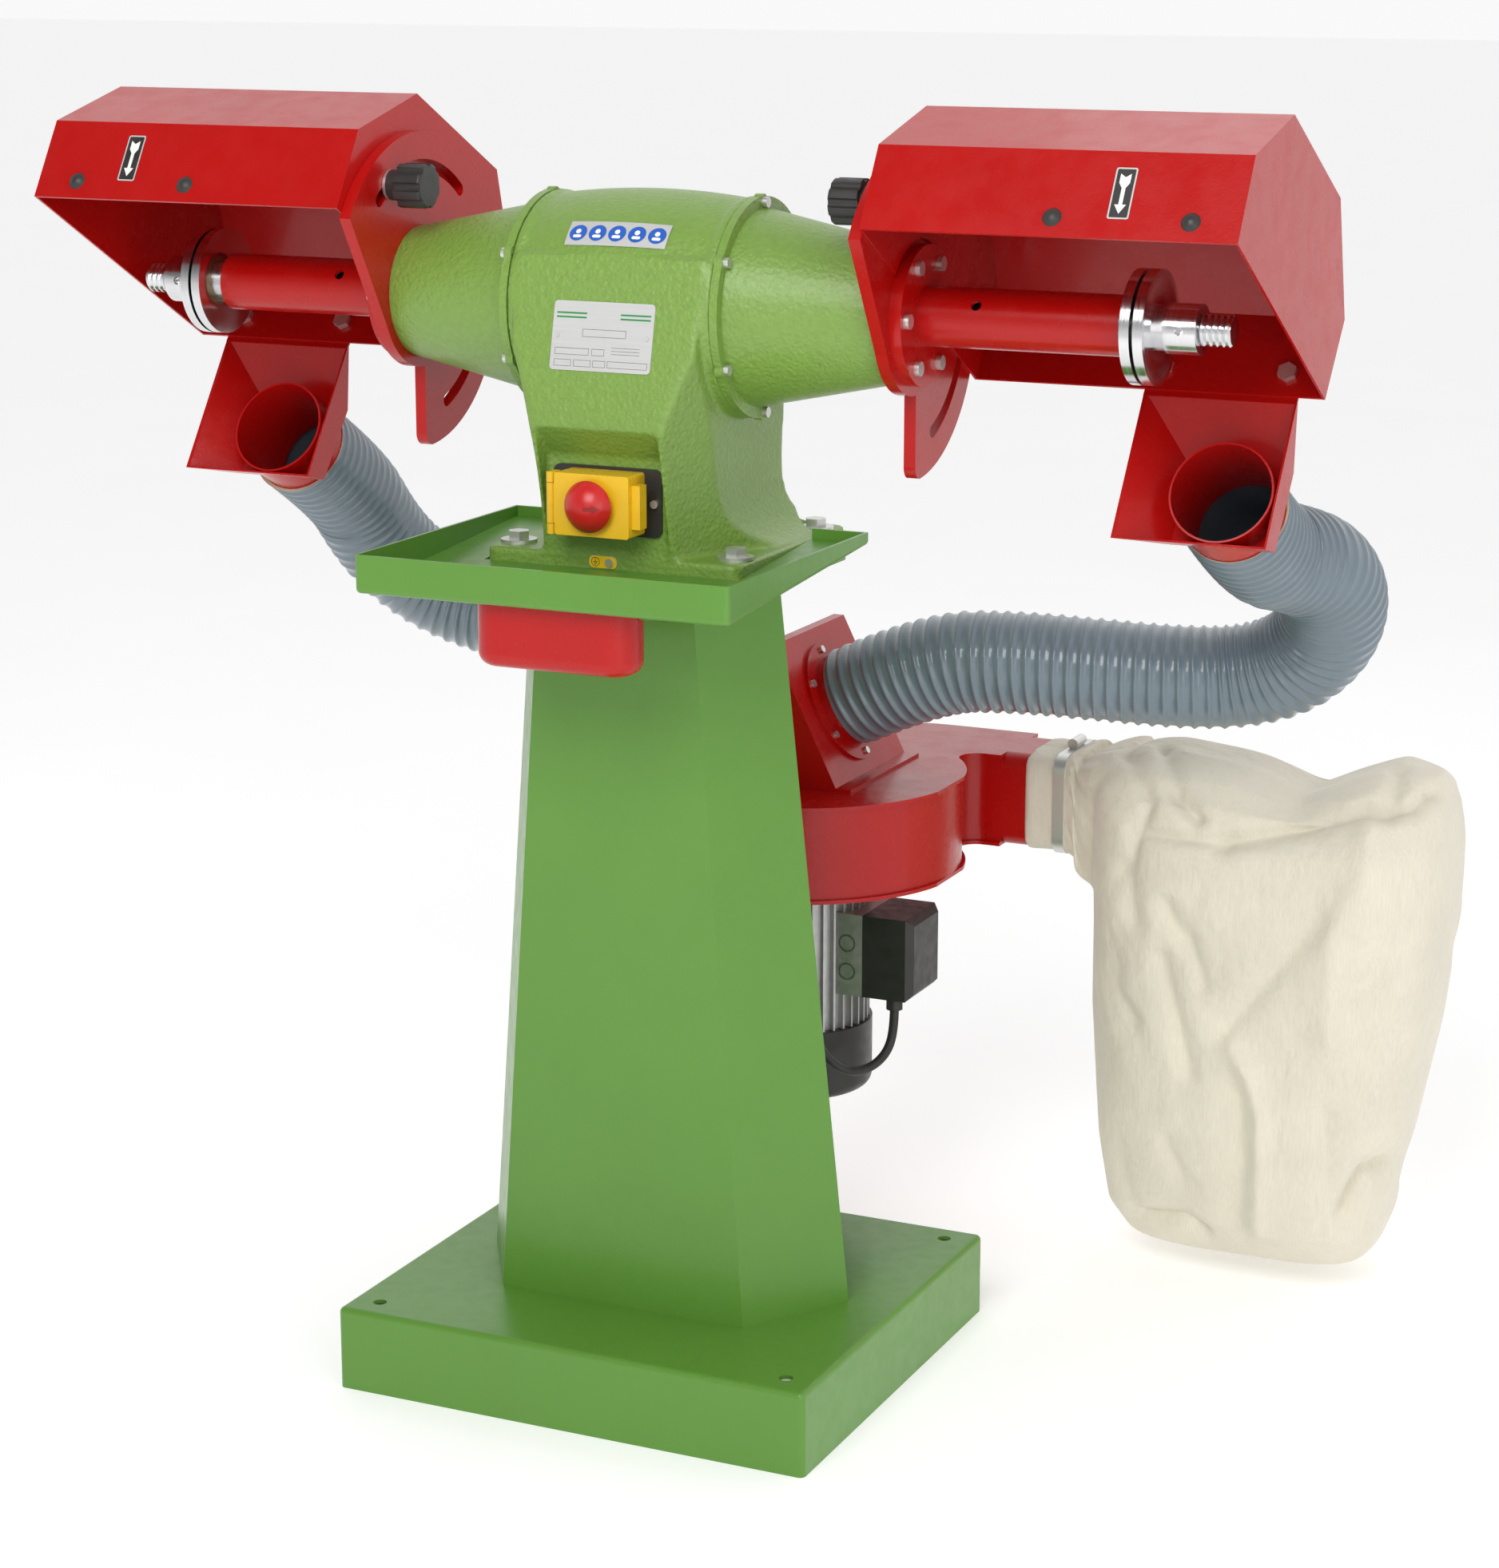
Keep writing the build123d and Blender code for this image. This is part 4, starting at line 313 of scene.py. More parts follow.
def make_paints(paint):
    """Powder coat, hammered coat on the castings, and gloss red."""
    green = Finish("sheet_green")
    green.set(Metallic=0, Coat_Weight=0.15, Coat_Roughness=0.15, Specular_IOR_Level=0.4)
    green.tint(green.noise(9, 4), shade(paint.sheet_green, 0.93), shade(paint.sheet_green, 1.07))
    green.rough(green.noise(60, 3), 0.28, 0.4)
    green.bump(green.joined(green.noise(420, 2), green.noise(900, 1)), 0.0002, 0.55)

    casting = Finish("casting_green")
    casting.set(Metallic=0, Coat_Weight=0.3, Coat_Roughness=0.3)
    casting.tint(casting.noise(150, 4), shade(paint.casting_green, 0.85), shade(paint.casting_green, 1.12))
    casting.rough(casting.noise(260, 3), 0.36, 0.52)
    hammer = casting.joined(casting.cells(210), casting.noise(300, 3))
    casting.bump(hammer, 0.0011, 0.75)

    red = Finish("gloss_red")
    red.set(Metallic=0, Coat_Weight=0.15, Coat_Roughness=0.06, Specular_IOR_Level=0.32)
    red.tint(red.noise(7, 4), shade(paint.red, 0.9), shade(paint.red, 1.08))
    red.rough(red.noise(35, 3), 0.22, 0.33)
    red.bump(red.joined(red.noise(230, 2), red.noise(520, 1)), 0.00016, 0.4)


def make_metals():
    """Steels, copper, bronze, the plates' silver and the fan motor's cast alloy."""
    for name, base, low, high, across in (
        ("plated_steel", (0.62, 0.62, 0.6), 0.22, 0.38, (40, 40, 40)),
        ("turned_steel", (0.7, 0.7, 0.71), 0.12, 0.26, (900, 30, 30)),
        ("dull_steel", (0.4, 0.4, 0.41), 0.3, 0.45, (60, 60, 60)),
        ("copper", (0.62, 0.28, 0.1), 0.3, 0.45, (500, 60, 60)),
        ("bronze", (0.6, 0.4, 0.15), 0.3, 0.45, (300, 40, 40)),
    ):
        metal = Finish(name).set(Metallic=1.0)
        grain = metal.noise(1, 4, metal.stretched(across))
        metal.tint(grain, shade(base, 0.86), shade(base, 1.12))
        metal.rough(grain, low, high)
        metal.bump(grain, 0.00006, 0.5)

    silver = Finish("plate_silver").set(Metallic=0.25)
    grain = silver.noise(1, 4, silver.stretched((8, 400, 900)))
    silver.tint(grain, (0.5, 0.5, 0.49), (0.6, 0.6, 0.59))
    silver.rough(grain, 0.45, 0.6)
    silver.bump(grain, 0.00006, 0.5)

    alloy = Finish("cast_alloy").set(Metallic=0.85)
    alloy.tint(alloy.noise(70, 4), (0.42, 0.42, 0.42), (0.58, 0.58, 0.57))
    alloy.rough(alloy.noise(120, 3), 0.4, 0.55)
    alloy.bump(alloy.noise(650, 3), 0.0003, 0.6)


def make_plastics(paint):
    """Moulded parts, rubber, printed colours, a darker red painted as the shade in an engraved arrow, and the
    hoses.
    """
    black = Finish("moulded_black")
    black.tint(black.noise(40, 3), shade(paint.black, 0.8), shade(paint.black, 1.4))
    black.rough(black.noise(80, 3), 0.34, 0.5)
    black.bump(black.noise(1400, 2), 0.00012, 0.5)

    rubber = Finish("cable_rubber")
    rubber.tint(rubber.noise(60, 3), (0.012, 0.012, 0.012), (0.03, 0.03, 0.03))
    rubber.rough(rubber.noise(90, 3), 0.42, 0.6)
    rubber.bump(rubber.noise(800, 2), 0.0001, 0.5)

    for name, base in (("switch_yellow", paint.switch_yellow), ("switch_red", (0.56, 0.012, 0.012)),
                       ("switch_green", (0.02, 0.25, 0.06)), ("tag_yellow", (0.85, 0.55, 0.01)),
                       ("sign_blue", (0.02, 0.11, 0.5)), ("arrow_white", (0.82, 0.82, 0.8)),
                       # A darker copy of the switch red: painted shade in the stop mushroom's engraved arrow
                       ("rule_grey", (0.2, 0.2, 0.2)), ("engraved_arrow_shade_red", (0.3, 0.006, 0.006))):
        moulded = Finish(name)
        moulded.tint(moulded.noise(60, 3), shade(base, 0.93), shade(base, 1.06))
        moulded.rough(moulded.noise(120, 3), 0.26, 0.38)
        moulded.bump(moulded.noise(1100, 2), 0.00008, 0.4)

    hose = Finish("hose_grey").set(Coat_Weight=0.6, Coat_Roughness=0.08)
    hose.tint(hose.noise(26, 4), shade(paint.hose_grey, 0.86), shade(paint.hose_grey, 1.14))
    hose.rough(hose.noise(90, 3), 0.28, 0.42)
    hose.bump(hose.noise(600, 2), 0.00015, 0.4)

    cut = Finish("hose_cut_edge")
    cut.tint(cut.noise(300, 3), (0.5, 0.42, 0.28), (0.66, 0.58, 0.42))
    cut.rough(cut.noise(200, 2), 0.5, 0.65)
    cut.bump(cut.noise(900, 2), 0.0003, 0.5)


def make_cloth(paint):
    """Woven, crumpled filter cloth."""
    cloth = Finish("filter_cloth").set(Sheen_Weight=0.25, Sheen_Roughness=0.5)
    weave = cloth.joined(cloth.waves(330, "Z"), cloth.waves(330, "DIAGONAL"))
    slub = cloth.noise(1, 3, cloth.stretched((900, 900, 40)))
    cloth.tint(cloth.joined(cloth.noise(14, 5), cloth.between(slub, -0.25, 0.25)),
               shade(paint.cloth, 0.9), shade(paint.cloth, 1.08))
    cloth.rough(cloth.noise(200, 3), 0.8, 0.95)
    crumple = cloth.joined(cloth.noise(1, 4, cloth.stretched((27, 27, 10))), cloth.noise(30, 3))
    cloth.bump(cloth.joined(crumple, cloth.between(cloth.joined(weave, slub), 0, 0.05)), 0.007, 0.6)


def make_floor():
    """The pale floor, with a little light of its own."""
    floor = Finish("studio_floor")
    floor.set(Emission_Color=(1, 1, 1, 1), Emission_Strength=0.3)
    floor.tint(floor.noise(2, 3), (0.86, 0.86, 0.86), (0.9, 0.9, 0.9))
    floor.rough(floor.noise(5, 2), 0.7, 0.8)


def make_finishes(paint):
    """All finishes of the machine and its studio."""
    make_paints(paint)
    make_metals()
    make_plastics(paint)
    make_cloth(paint)
    make_floor()


def finish(name):
    """A material by name."""
    return bpy.data.materials[name]


def dress(obj, name):
    """Give a piece one finish."""
    obj.data.materials.clear()
    obj.data.materials.append(finish(name))


def repaint(obj, name):
    """Give a solid part one finish and leave its mesh as it is."""
    for slot in obj.material_slots:
        slot.link = "OBJECT"
        slot.material = finish(name)


def piece(name, mesh, body, finish_name=None):
    """Put a new mesh in the scene, riding on a body, with its finish."""
    obj = bpy.data.objects.new(name, mesh)
    bpy.context.collection.objects.link(obj)
    if finish_name:
        dress(obj, finish_name)
    if body:
        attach(obj, body)
    return obj


def smooth(mesh, angle=None):
    """Shade a mesh smooth, with sharp edges past an angle."""
    mesh.polygons.foreach_set("use_smooth", [True] * len(mesh.polygons))
    if angle is not None:
        mesh.set_sharp_from_angle(angle=angle)
    mesh.update()


def grid_mesh(name, rows, closed_rows, closed_columns):
    """A mesh from rows of points, each row the same length."""
    count = len(rows[0])
    points = [tuple(point) for row in rows for point in row]
    faces = []
    for i in range(len(rows) if closed_rows else len(rows) - 1):
        for j in range(count if closed_columns else count - 1):
            a, b = i * count, (i + 1) % len(rows) * count
            k = (j + 1) % count
            faces.append((a + j, a + k, b + k, b + j))
    mesh = bpy.data.meshes.new(name)
    mesh.from_pydata(points, [], faces)
    mesh.update()
    return mesh


def route_curve(name, route):
    """A smooth curve with the route's points as its control points."""
    curve = bpy.data.curves.new(name, "CURVE")
    curve.dimensions = "3D"
    curve.resolution_u = 20
    spline = curve.splines.new("NURBS")
    spline.points.add(len(route) - 1)
    for point, place in zip(spline.points, route):
        point.co = (*(Vector(place) * MM), 1)
    spline.order_u = 3
    spline.use_endpoint_u = True
    return curve


def route_line(name, route):
    """Points along a route's curve, with their distances from its start."""
    holder = bpy.data.objects.new(name, route_curve(name, route))
    mesh = bpy.data.meshes.new_from_object(holder)
    points = np.array([vertex.co for vertex in mesh.vertices])
    bpy.data.objects.remove(holder)
    bpy.data.meshes.remove(mesh)
    steps = np.linalg.norm(np.diff(points, axis=0), axis=1)
    return points, np.concatenate([[0], np.cumsum(steps)])


def rings_along(points, distances, stations):
    """A centre and two cross directions, carried without twist, at each station along a line."""
    centres = np.stack([np.interp(stations, distances, points[:, axis]) for axis in range(3)], axis=1)
    ahead = np.gradient(centres, axis=0)
    ahead /= np.linalg.norm(ahead, axis=1)[:, None]
    across = np.cross(ahead[0], HOSE_SIDE_HINT)
    frames = []
    for centre, direction in zip(centres, ahead):
        across = across - direction * across.dot(direction)
        across /= np.linalg.norm(across)
        frames.append((centre, across, np.cross(direction, across)))
    return frames


def ring(centre, across, up, turns, radius):
    """Points round a centre, at one radius or at one for each turn."""
    return centre + np.outer(np.cos(turns) * radius, across) + np.outer(np.sin(turns) * radius, up)


def ribbed_hose(name, route, settings):
    """A hose with a helical rib, a plain bore and cut ends, and the points it follows."""
    points, distances = route_line(name, route)
    length = distances[-1]
    turns = np.linspace(0, 2 * math.pi, settings.sides, endpoint=False)
    steps = int(length / settings.pitch * RINGS_PER_RIB)
    stations = np.linspace(0, length, steps)
    rows = []
    for station, (centre, across, up) in zip(stations, rings_along(points, distances, stations)):
        phase = (station / settings.pitch - turns / (2 * math.pi)) % 1
        rise = np.exp(-((phase - 0.5) / settings.rib_width) ** 2)
        radius = settings.root + (settings.outer - settings.root) * rise
        rows.append(ring(centre, across, up, turns, radius))
    inner_stations = np.linspace(0, length, steps // RINGS_PER_BORE_RING)
    for centre, across, up in rings_along(points, distances, inner_stations)[::-1]:
        rows.append(ring(centre, across, up, turns, settings.bore))
    mesh = grid_mesh(name, rows, True, True)
    smooth(mesh, math.radians(60))
    mesh.materials.append(finish("hose_grey"))
    mesh.materials.append(finish("hose_cut_edge"))
    for row in (steps - 1, len(rows) - 1):
        for column in range(settings.sides):
            mesh.polygons[row * settings.sides + column].material_index = 1
    return mesh, points, length


def superellipse(left, right, front, rear, power):
    """Points round a box with rounded corners."""
    turns = np.linspace(0, 2 * math.pi, BAG_POINTS, endpoint=False)
    x = np.sign(np.cos(turns)) * np.abs(np.cos(turns)) ** (2 / power)
    y = np.sign(np.sin(turns)) * np.abs(np.sin(turns)) ** (2 / power)
    return (left + right) / 2 + (right - left) / 2 * x, (front + rear) / 2 + (rear - front) / 2 * y


def capped(rows):
    """A closed mesh from rings of points, with its first and last rings filled."""
    mesh = grid_mesh("capped_rings", rows, False, True)
    shape = bmesh.new()
    shape.from_mesh(mesh)
    shape.verts.ensure_lookup_table()
    for start in (0, (len(rows) - 1) * BAG_POINTS):
        shape.faces.new([shape.verts[start + index] for index in range(BAG_POINTS)])
    bmesh.ops.recalc_face_normals(shape, faces=shape.faces)
    shape.to_mesh(mesh)
    shape.free()
    return mesh


def applied(obj):
    """The mesh that an object's modifiers give, with the object taken away."""
    view = bpy.context.evaluated_depsgraph_get()
    mesh = bpy.data.meshes.new_from_object(obj.evaluated_get(view))
    bpy.data.objects.remove(obj)
    return mesh


def soft_skin(obj, voxel, passes):
    """Cover an object with one even mesh and soften it."""
    skin = obj.modifiers.new("skin", "REMESH")
    skin.mode = "VOXEL"
    skin.voxel_size = voxel
    skin.use_smooth_shade = True
    soft = obj.modifiers.new("soft", "SMOOTH")
    soft.factor = 0.5
    soft.iterations = passes


def bag_form(voxel, creases):
    """The bag before simulation: a full sack and its sleeve, joined into one skin."""
    levels = np.array(BAG_LEVELS, float) * MM
    spans = zip(levels[:-1, 0], levels[1:, 0])
    heights = np.concatenate([np.linspace(low, high, BAG_STEPS, endpoint=False) for low, high in spans])
    rows = []
    for z in np.append(heights, levels[-1, 0]):
        limits = [np.interp(z, levels[:, 0], levels[:, side]) for side in range(1, 5)]
        x, y = superellipse(*limits, BAG_SQUARENESS)
        rows.append(np.stack([x, y, np.full(BAG_POINTS, z)], axis=1))
    sack = capped(rows)
    rows = []
    for x, grow in SLEEVE_STATIONS:
        limits = [(limit + sign * grow) * MM for limit, sign in zip(DUCT, (-1, 1, -1, 1))]
        y, z = superellipse(*limits, DUCT_SQUARENESS)
        rows.append(np.stack([np.full(BAG_POINTS, x * MM), y, z], axis=1))
    sleeve = capped(rows)
    shape = bmesh.new()
    for mesh in (sack, sleeve):
        shape.from_mesh(mesh)
        bpy.data.meshes.remove(mesh)
    joined = bpy.data.meshes.new("bag_form")
    shape.to_mesh(joined)
    shape.free()
    form = bpy.data.objects.new("bag_form", joined)
    bpy.context.collection.objects.link(form)
    soft_skin(form, voxel, BAG_PASSES)
    mesh = applied(form)
    places = np.array([vertex.co for vertex in mesh.vertices])
    normals = np.array([vertex.normal for vertex in mesh.vertices])
    front_plus_rear = sum(BAG_LEVELS[BAG_MIDDLE_LEVEL][3:])
    for width, depth, line in BAG_FOLDS:
        front = np.array(line) * MM
        rear = front * (1, -1, 1) + np.array((0, front_plus_rear, -REAR_FOLD_DROP)) * MM
        for points in (front, rear):
            near = np.min([distance_to_run(places, a, b) for a, b in zip(points, points[1:])], axis=0)
            share = np.exp(-(near / (width * MM)) ** FOLD_SHARPNESS)
            places -= normals * (creases * depth * MM * share)[:, None]
    mesh.vertices.foreach_set("co", places.ravel())
    mesh.update()
    return mesh


def distance_to_run(places, start, end):
    """How far each place is from a straight run."""
    along = end - start
    share = np.clip((places - start) @ along / (along @ along), 0, 1)
    return np.linalg.norm(places - start - share[:, None] * along, axis=1)


def hung(bag, rest, settings):
    """Where the bag's points come to rest, held by the sleeve, under their weight and the air inside."""
    hold = bag.vertex_groups.new(name="sleeve")
    for index, place in enumerate(rest):
        grip = np.clip((SLEEVE_HOLD_END * MM - place[0]) / (SLEEVE_HOLD_FADE * MM), 0, 1)
        if grip > 0:
            hold.add([index], float(grip), "REPLACE")
    cloth = bag.modifiers.new("cloth", "CLOTH")
    for name, value in CLOTH_SETTINGS.items():
        setattr(cloth.settings, name, value)
    cloth.settings.shrink_min = -settings.slack
    cloth.settings.vertex_group_mass = "sleeve"
    cloth.settings.use_pressure = True
    cloth.settings.uniform_pressure_force = settings.pressure
    cloth.collision_settings.use_collision = False
    scene = bpy.context.scene
    for step in range(1, settings.steps + 1):
        scene.frame_set(step)
    view = bpy.context.evaluated_depsgraph_get()
    moved = np.array([vertex.co for vertex in bag.evaluated_get(view).data.vertices])
    bag.modifiers.remove(cloth)
    scene.frame_set(1)
    shift = moved - rest
    far = np.linalg.norm(shift, axis=1)[:, None]
    return rest + shift * np.tanh(far / settings.reach) / np.maximum(far, 1e-9) * settings.reach


class POLISHER_OT_bag(bpy.types.Operator):
    """Make the cloth dust bag, hung by its sleeve from the fan's outlet"""
    bl_idname = "polisher.bag"
    bl_label = "Dust bag"

    def execute(self, context):
        settings = context.scene.polisher_bag
        mesh = bag_form(settings.voxel, settings.creases)
        bag = piece("dust_bag_cloth", mesh, None, "filter_cloth")
        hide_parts("dust_bag")
        rest = np.array([vertex.co for vertex in mesh.vertices])
        mesh.vertices.foreach_set("co", hung(bag, rest, settings).ravel())
        smooth(mesh)
        skin = bag.modifiers.new("cloth_thickness", "SOLIDIFY")
        skin.thickness = settings.thickness
        finer = bag.modifiers.new("finer", "SUBSURF")
        finer.levels = finer.render_levels = 1
        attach(bag, "stand")
        return {"FINISHED"}


class POLISHER_OT_casting(bpy.types.Operator):
    """Round off the edges of the cast motor housing"""
    bl_idname = "polisher.casting"
    bl_label = "Motor casting"

    def execute(self, context):
        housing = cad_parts["motor_housing"]
        repaint(housing, "casting_green")
        soft_skin(housing, CASTING_VOXEL, CASTING_PASSES)
        return {"FINISHED"}


def on_plane(origin, across, along):
    """A map from millimetres across and along a plane, and off it, to a place."""
    across, along = Vector(across).normalized(), Vector(along).normalized()
    out = across.cross(along)
    return lambda u, v, lift: (Vector(origin) + across * u + along * v + out * lift) * MM


def on_barrel(u, v, lift):
    """The place on the motor's barrel, u along it and v round it from the crown towards the worker."""
    radius = BARREL_RADIUS - BARREL_CROWN * (u / BARREL_HALF_LENGTH) ** 2 + lift
    turn = math.pi / 2 + v / BARREL_RADIUS
    return (SHAFT + Vector((u, radius * math.cos(turn), radius * math.sin(turn)))) * MM


def on_mushroom(u, v, lift):
    """The place on the stop mushroom's dome, u to the right of its middle and v above it."""
    dome = (MUSHROOM_RADIUS ** 2 + MUSHROOM_RISE ** 2) / (2 * MUSHROOM_RISE)
    back = dome - math.sqrt((dome + lift) ** 2 - u ** 2 - v ** 2)
    return (MUSHROOM_CREST + Vector((u, back, v))) * MM


def patches(name, surface, outlines, lift, body, finish_name):
    """One thin piece made of outlines laid on a surface, cut into small squares so that it follows it."""
    shape = bmesh.new()
    for outline in outlines:
        shape.faces.new([shape.verts.new((u, v, 0)) for u, v in outline])
    low = np.min([vertex.co for vertex in shape.verts], axis=0)
    high = np.max([vertex.co for vertex in shape.verts], axis=0)
    for axis in range(2):
        normal = Vector((axis == 0, axis == 1, 0))
        for step in np.arange(low[axis] + PATCH_STEP, high[axis], PATCH_STEP):
            bmesh.ops.bisect_plane(shape, geom=shape.verts[:] + shape.edges[:] + shape.faces[:],
                                   plane_co=normal * step, plane_no=normal)
    for vertex in shape.verts:
        vertex.co = surface(vertex.co.x, vertex.co.y, lift)
    mesh = bpy.data.meshes.new(name)
    shape.to_mesh(mesh)
    shape.free()
    return piece(name, mesh, body, finish_name)


def box_outline(width, height, middle=(0, 0), radius=0):
    """The outline of a rectangle round a middle, with round corners where asked."""
    points = []
    for corner, (u, v) in enumerate(((1, 1), (-1, 1), (-1, -1), (1, -1))):
        for turn in (0, 30, 60, 90) if radius else (0,):
            angle = math.radians(90 * corner + turn)
            reach = (width / 2 - radius) * u, (height / 2 - radius) * v
            points.append((middle[0] + reach[0] + radius * math.cos(angle),
                           middle[1] + reach[1] + radius * math.sin(angle)))
    return points


def ring_outlines(outer, inner, middle, count=24):
    """The outlines of a flat ring's pieces."""
    turns = [2 * math.pi * index / count for index in range(count + 1)]
    spots = [[(middle[0] + r * math.cos(turn), middle[1] + r * math.sin(turn)) for turn in turns]
             for r in (outer, inner)]
    return [[spots[0][i], spots[0][i + 1], spots[1][i + 1], spots[1][i]] for i in range(count)]


def frame_outlines(width, height, middle, line):
    """The outlines of the four bars of a ruled box."""
    u, v = middle
    bars = [((0, sign * height / 2), width + line, line) for sign in (-1, 1)]
    bars += [((sign * width / 2, 0), line, height - line) for sign in (-1, 1)]
    return [box_outline(across, along, (u + du, v + dv)) for (du, dv), across, along in bars]


class POLISHER_OT_plates(bpy.types.Operator):
    """Add plain plates and marks: turn arrows, round signs, ruled boxes, earth tag and knockouts"""
    bl_idname = "polisher.plates"
    bl_label = "Plates"

    def execute(self, context):
        # Turn arrows on the hoods' front slopes
        half_arrow = [(0, -20), (5.5, -11), (1.8, -11), (1.8, 5), (5, 10), (5, 19), (0, 15.5)]
        arrow = half_arrow + [(-u, v) for u, v in half_arrow[-2:0:-1]]
        for side, place in (("left", (-525.8, -131.4, 1228.2)), ("right", (515.9, -132.1, 1226.9))):
            hood = on_plane(place, (1, 0, 0), (0, 44, 73))
            for kind, outline, lift, look in (
                ("edge", box_outline(20, 50, (0, 0), 2), 0.25, "plate_silver"),
                ("field", box_outline(17, 47, (0, 0), 1), 0.35, "moulded_black"),
                ("arrow", arrow, 0.45, "arrow_white"),
            ):
                patches(f"{side}_turn_{kind}", hood, [outline], lift, f"{side}_hood", look)

        # A strip of round signs on the barrel
        strip = (1, 93.5)
        signs = [(strip[0] + u, strip[1]) for u in (-42, -21, 0, 21, 42)]
        discs = [ring_outlines(9.2, 0.01, middle) for middle in signs]
        figures = [box_outline(5.6, 5.6, (u, v - 1.6), 2.7) for u, v in signs]
        figures += [box_outline(9, 3.4, (u, v + 4), 1.6) for u, v in signs]
        for name, outlines, lift, look in (
            ("sign_strip", [box_outline(107, 28, strip)], 0.8, "plate_silver"),
            ("sign_discs", sum(discs, []), 0.95, "sign_blue"),
            ("sign_figures", figures, 1.1, "arrow_white"),
        ):
            patches(name, on_barrel, outlines, lift, "stand", look)

        # Ruled boxes and coloured bands on the rating plate
        panel = on_plane((0, -129.8, 1075.5), (1, 0, 0), (0, 36, 160.5))
        line, lift = 0.5, 1.12
        boxes = ((46, 7, (2, 3)), (36, 6, (-31, -15)), (13, 6, (-3, -15)), (18, 6, (-40, -26)),
                 (18, 6, (-19, -26)), (13, 6, (-1, -26)), (42, 6, (29, -26)))
        rules = [bar for box in boxes for bar in frame_outlines(*box, line)]
        rules += [box_outline(30, line, (26, v)) for v in (-10, -13, -16)]
        patches("plate_rules", panel, rules, lift, "stand", "rule_grey")
        bands = [box_outline(32, 1.6, (u, v)) for u in (-34, 34) for v in (17.5, 21.5)]
        patches("plate_bands", panel, bands, lift, "stand", "switch_green")

        # The earth tag on the motor's foot
        foot = on_plane((-6, -122, 857.5), (1, 0, 0), (0, 0, 1))
        face = box_outline(29.6, 11.6, (0, 0), 4.8)
        patches("earth_tag_face", foot, [face], 0.15, "stand", "tag_yellow")
        marks = ring_outlines(4.6, 4.0, (-8, 0)) + [box_outline(0.7, 3, (-8, 1.6))]
        marks += [box_outline(width, 0.6, (-8, v)) for width, v in ((5, 0), (3.4, -1.3), (1.8, -2.6))]
        patches("earth_tag_mark", foot, marks, 0.25, "stand", "moulded_black")

        # Knockout rims on the fan motor's terminal base
        base = on_plane((77, 286, 360), (1, 0, 0), (0, 0, 1))
        for v in (-16, 16):
            rim = ring_outlines(10, 8, (0, v))
            patches(f"knockout_{v}", base, rim, 0.3, "stand", "dull_steel")

        # The stop mushroom's engraved arrow, as a darker red patch: painted shade in its groove
        turn = [(3, 2), (3, -2), (11, -2), (11, -4.5), (18, 0), (11, 4.5), (11, 2)]
        patches("mushroom_arrow_shade", on_mushroom, [turn], 0.15, "stop_mushroom", "engraved_arrow_shade_red")
        return {"FINISHED"}


class POLISHER_OT_studio(bpy.types.Operator):
    """Make the camera, the soft lights and the pale floor"""
    bl_idname = "polisher.studio"
    bl_label = "Studio"

    def execute(self, context):
        studio = context.scene.polisher_studio
        camera = bpy.data.cameras.new("camera")
        camera.lens = studio.lens
        camera.sensor_width = SENSOR_WIDTH
        camera.clip_end = SIGHT_LIMIT
        view = bpy.data.objects.new("camera", camera)
        view.location = CAMERA_PLACE
        view.rotation_euler = (math.pi / 2 - studio.pitch, 0, studio.yaw)
        context.collection.objects.link(view)
        context.scene.camera = view
        for name, place, aim, size, power in (
            ("key_light", (0.36, -2.9, 3.06), (0, 0, 0.9), 2.0, studio.key),
            ("fill_light", (2.9, -2.6, 1.3), (0, 0, 0.7), 2.0, studio.fill),
            ("rear_light", (0.4, 2.8, 2.9), (0, 0, 0.9), 2.4, studio.fill / 2),
        ):
            lamp = bpy.data.lights.new(name, "AREA")
            lamp.size = size
            lamp.energy = power
            holder = bpy.data.objects.new(name, lamp)
            holder.location = place
            holder.rotation_euler = (Vector(aim) - Vector(place)).to_track_quat("-Z", "Y").to_euler()
            context.collection.objects.link(holder)
        world = bpy.data.worlds.new("pale_surroundings")
        world.use_nodes = True
        nodes, links = world.node_tree.nodes, world.node_tree.links
        nodes["Background"].inputs["Color"].default_value = (1, 1, 1, 1)
        towards = nodes.new("ShaderNodeVectorMath")
        towards.operation = "DOT_PRODUCT"
        towards.inputs[1].default_value = DIM_MIDDLE
        links.new(nodes.new("ShaderNodeTexCoord").outputs["Generated"], towards.inputs[0])
        strength = nodes.new("ShaderNodeMapRange")
        spans = (("From Min", DIM_START), ("From Max", DIM_FULL),
                 ("To Min", studio.pale), ("To Max", studio.dim))
        for name, number in spans:
            strength.inputs[name].default_value = number
        links.new(towards.outputs["Value"], strength.inputs["Value"])
        links.new(strength.outputs["Result"], nodes["Background"].inputs["Strength"])
        context.scene.world = world
        context.scene.view_settings.view_transform = "Standard"
        ends = (-studio.floor, studio.floor)
        mesh = grid_mesh("studio_floor", [[(x, y, 0) for x in ends] for y in ends], False, False)
        floor = bpy.data.objects.new("studio_floor", mesh)
        context.collection.objects.link(floor)
        dress(floor, "studio_floor")
        return {"FINISHED"}


class POLISHER_OT_hoses(bpy.types.Operator):
    """Make the two ribbed hoses"""
    bl_idname = "polisher.hoses"
    bl_label = "Ribbed hoses"

    def execute(self, context):
        settings = context.scene.polisher_hoses
        for side, route in (("left", LEFT_HOSE_ROUTE), ("right", RIGHT_HOSE_ROUTE)):
            mesh, points, length = ribbed_hose(f"{side}_ribbed_hose", route, settings)
            hose = piece(f"{side}_ribbed_hose", mesh, None)
            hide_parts(f"{side}_hose")
            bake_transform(hose)
        return {"FINISHED"}


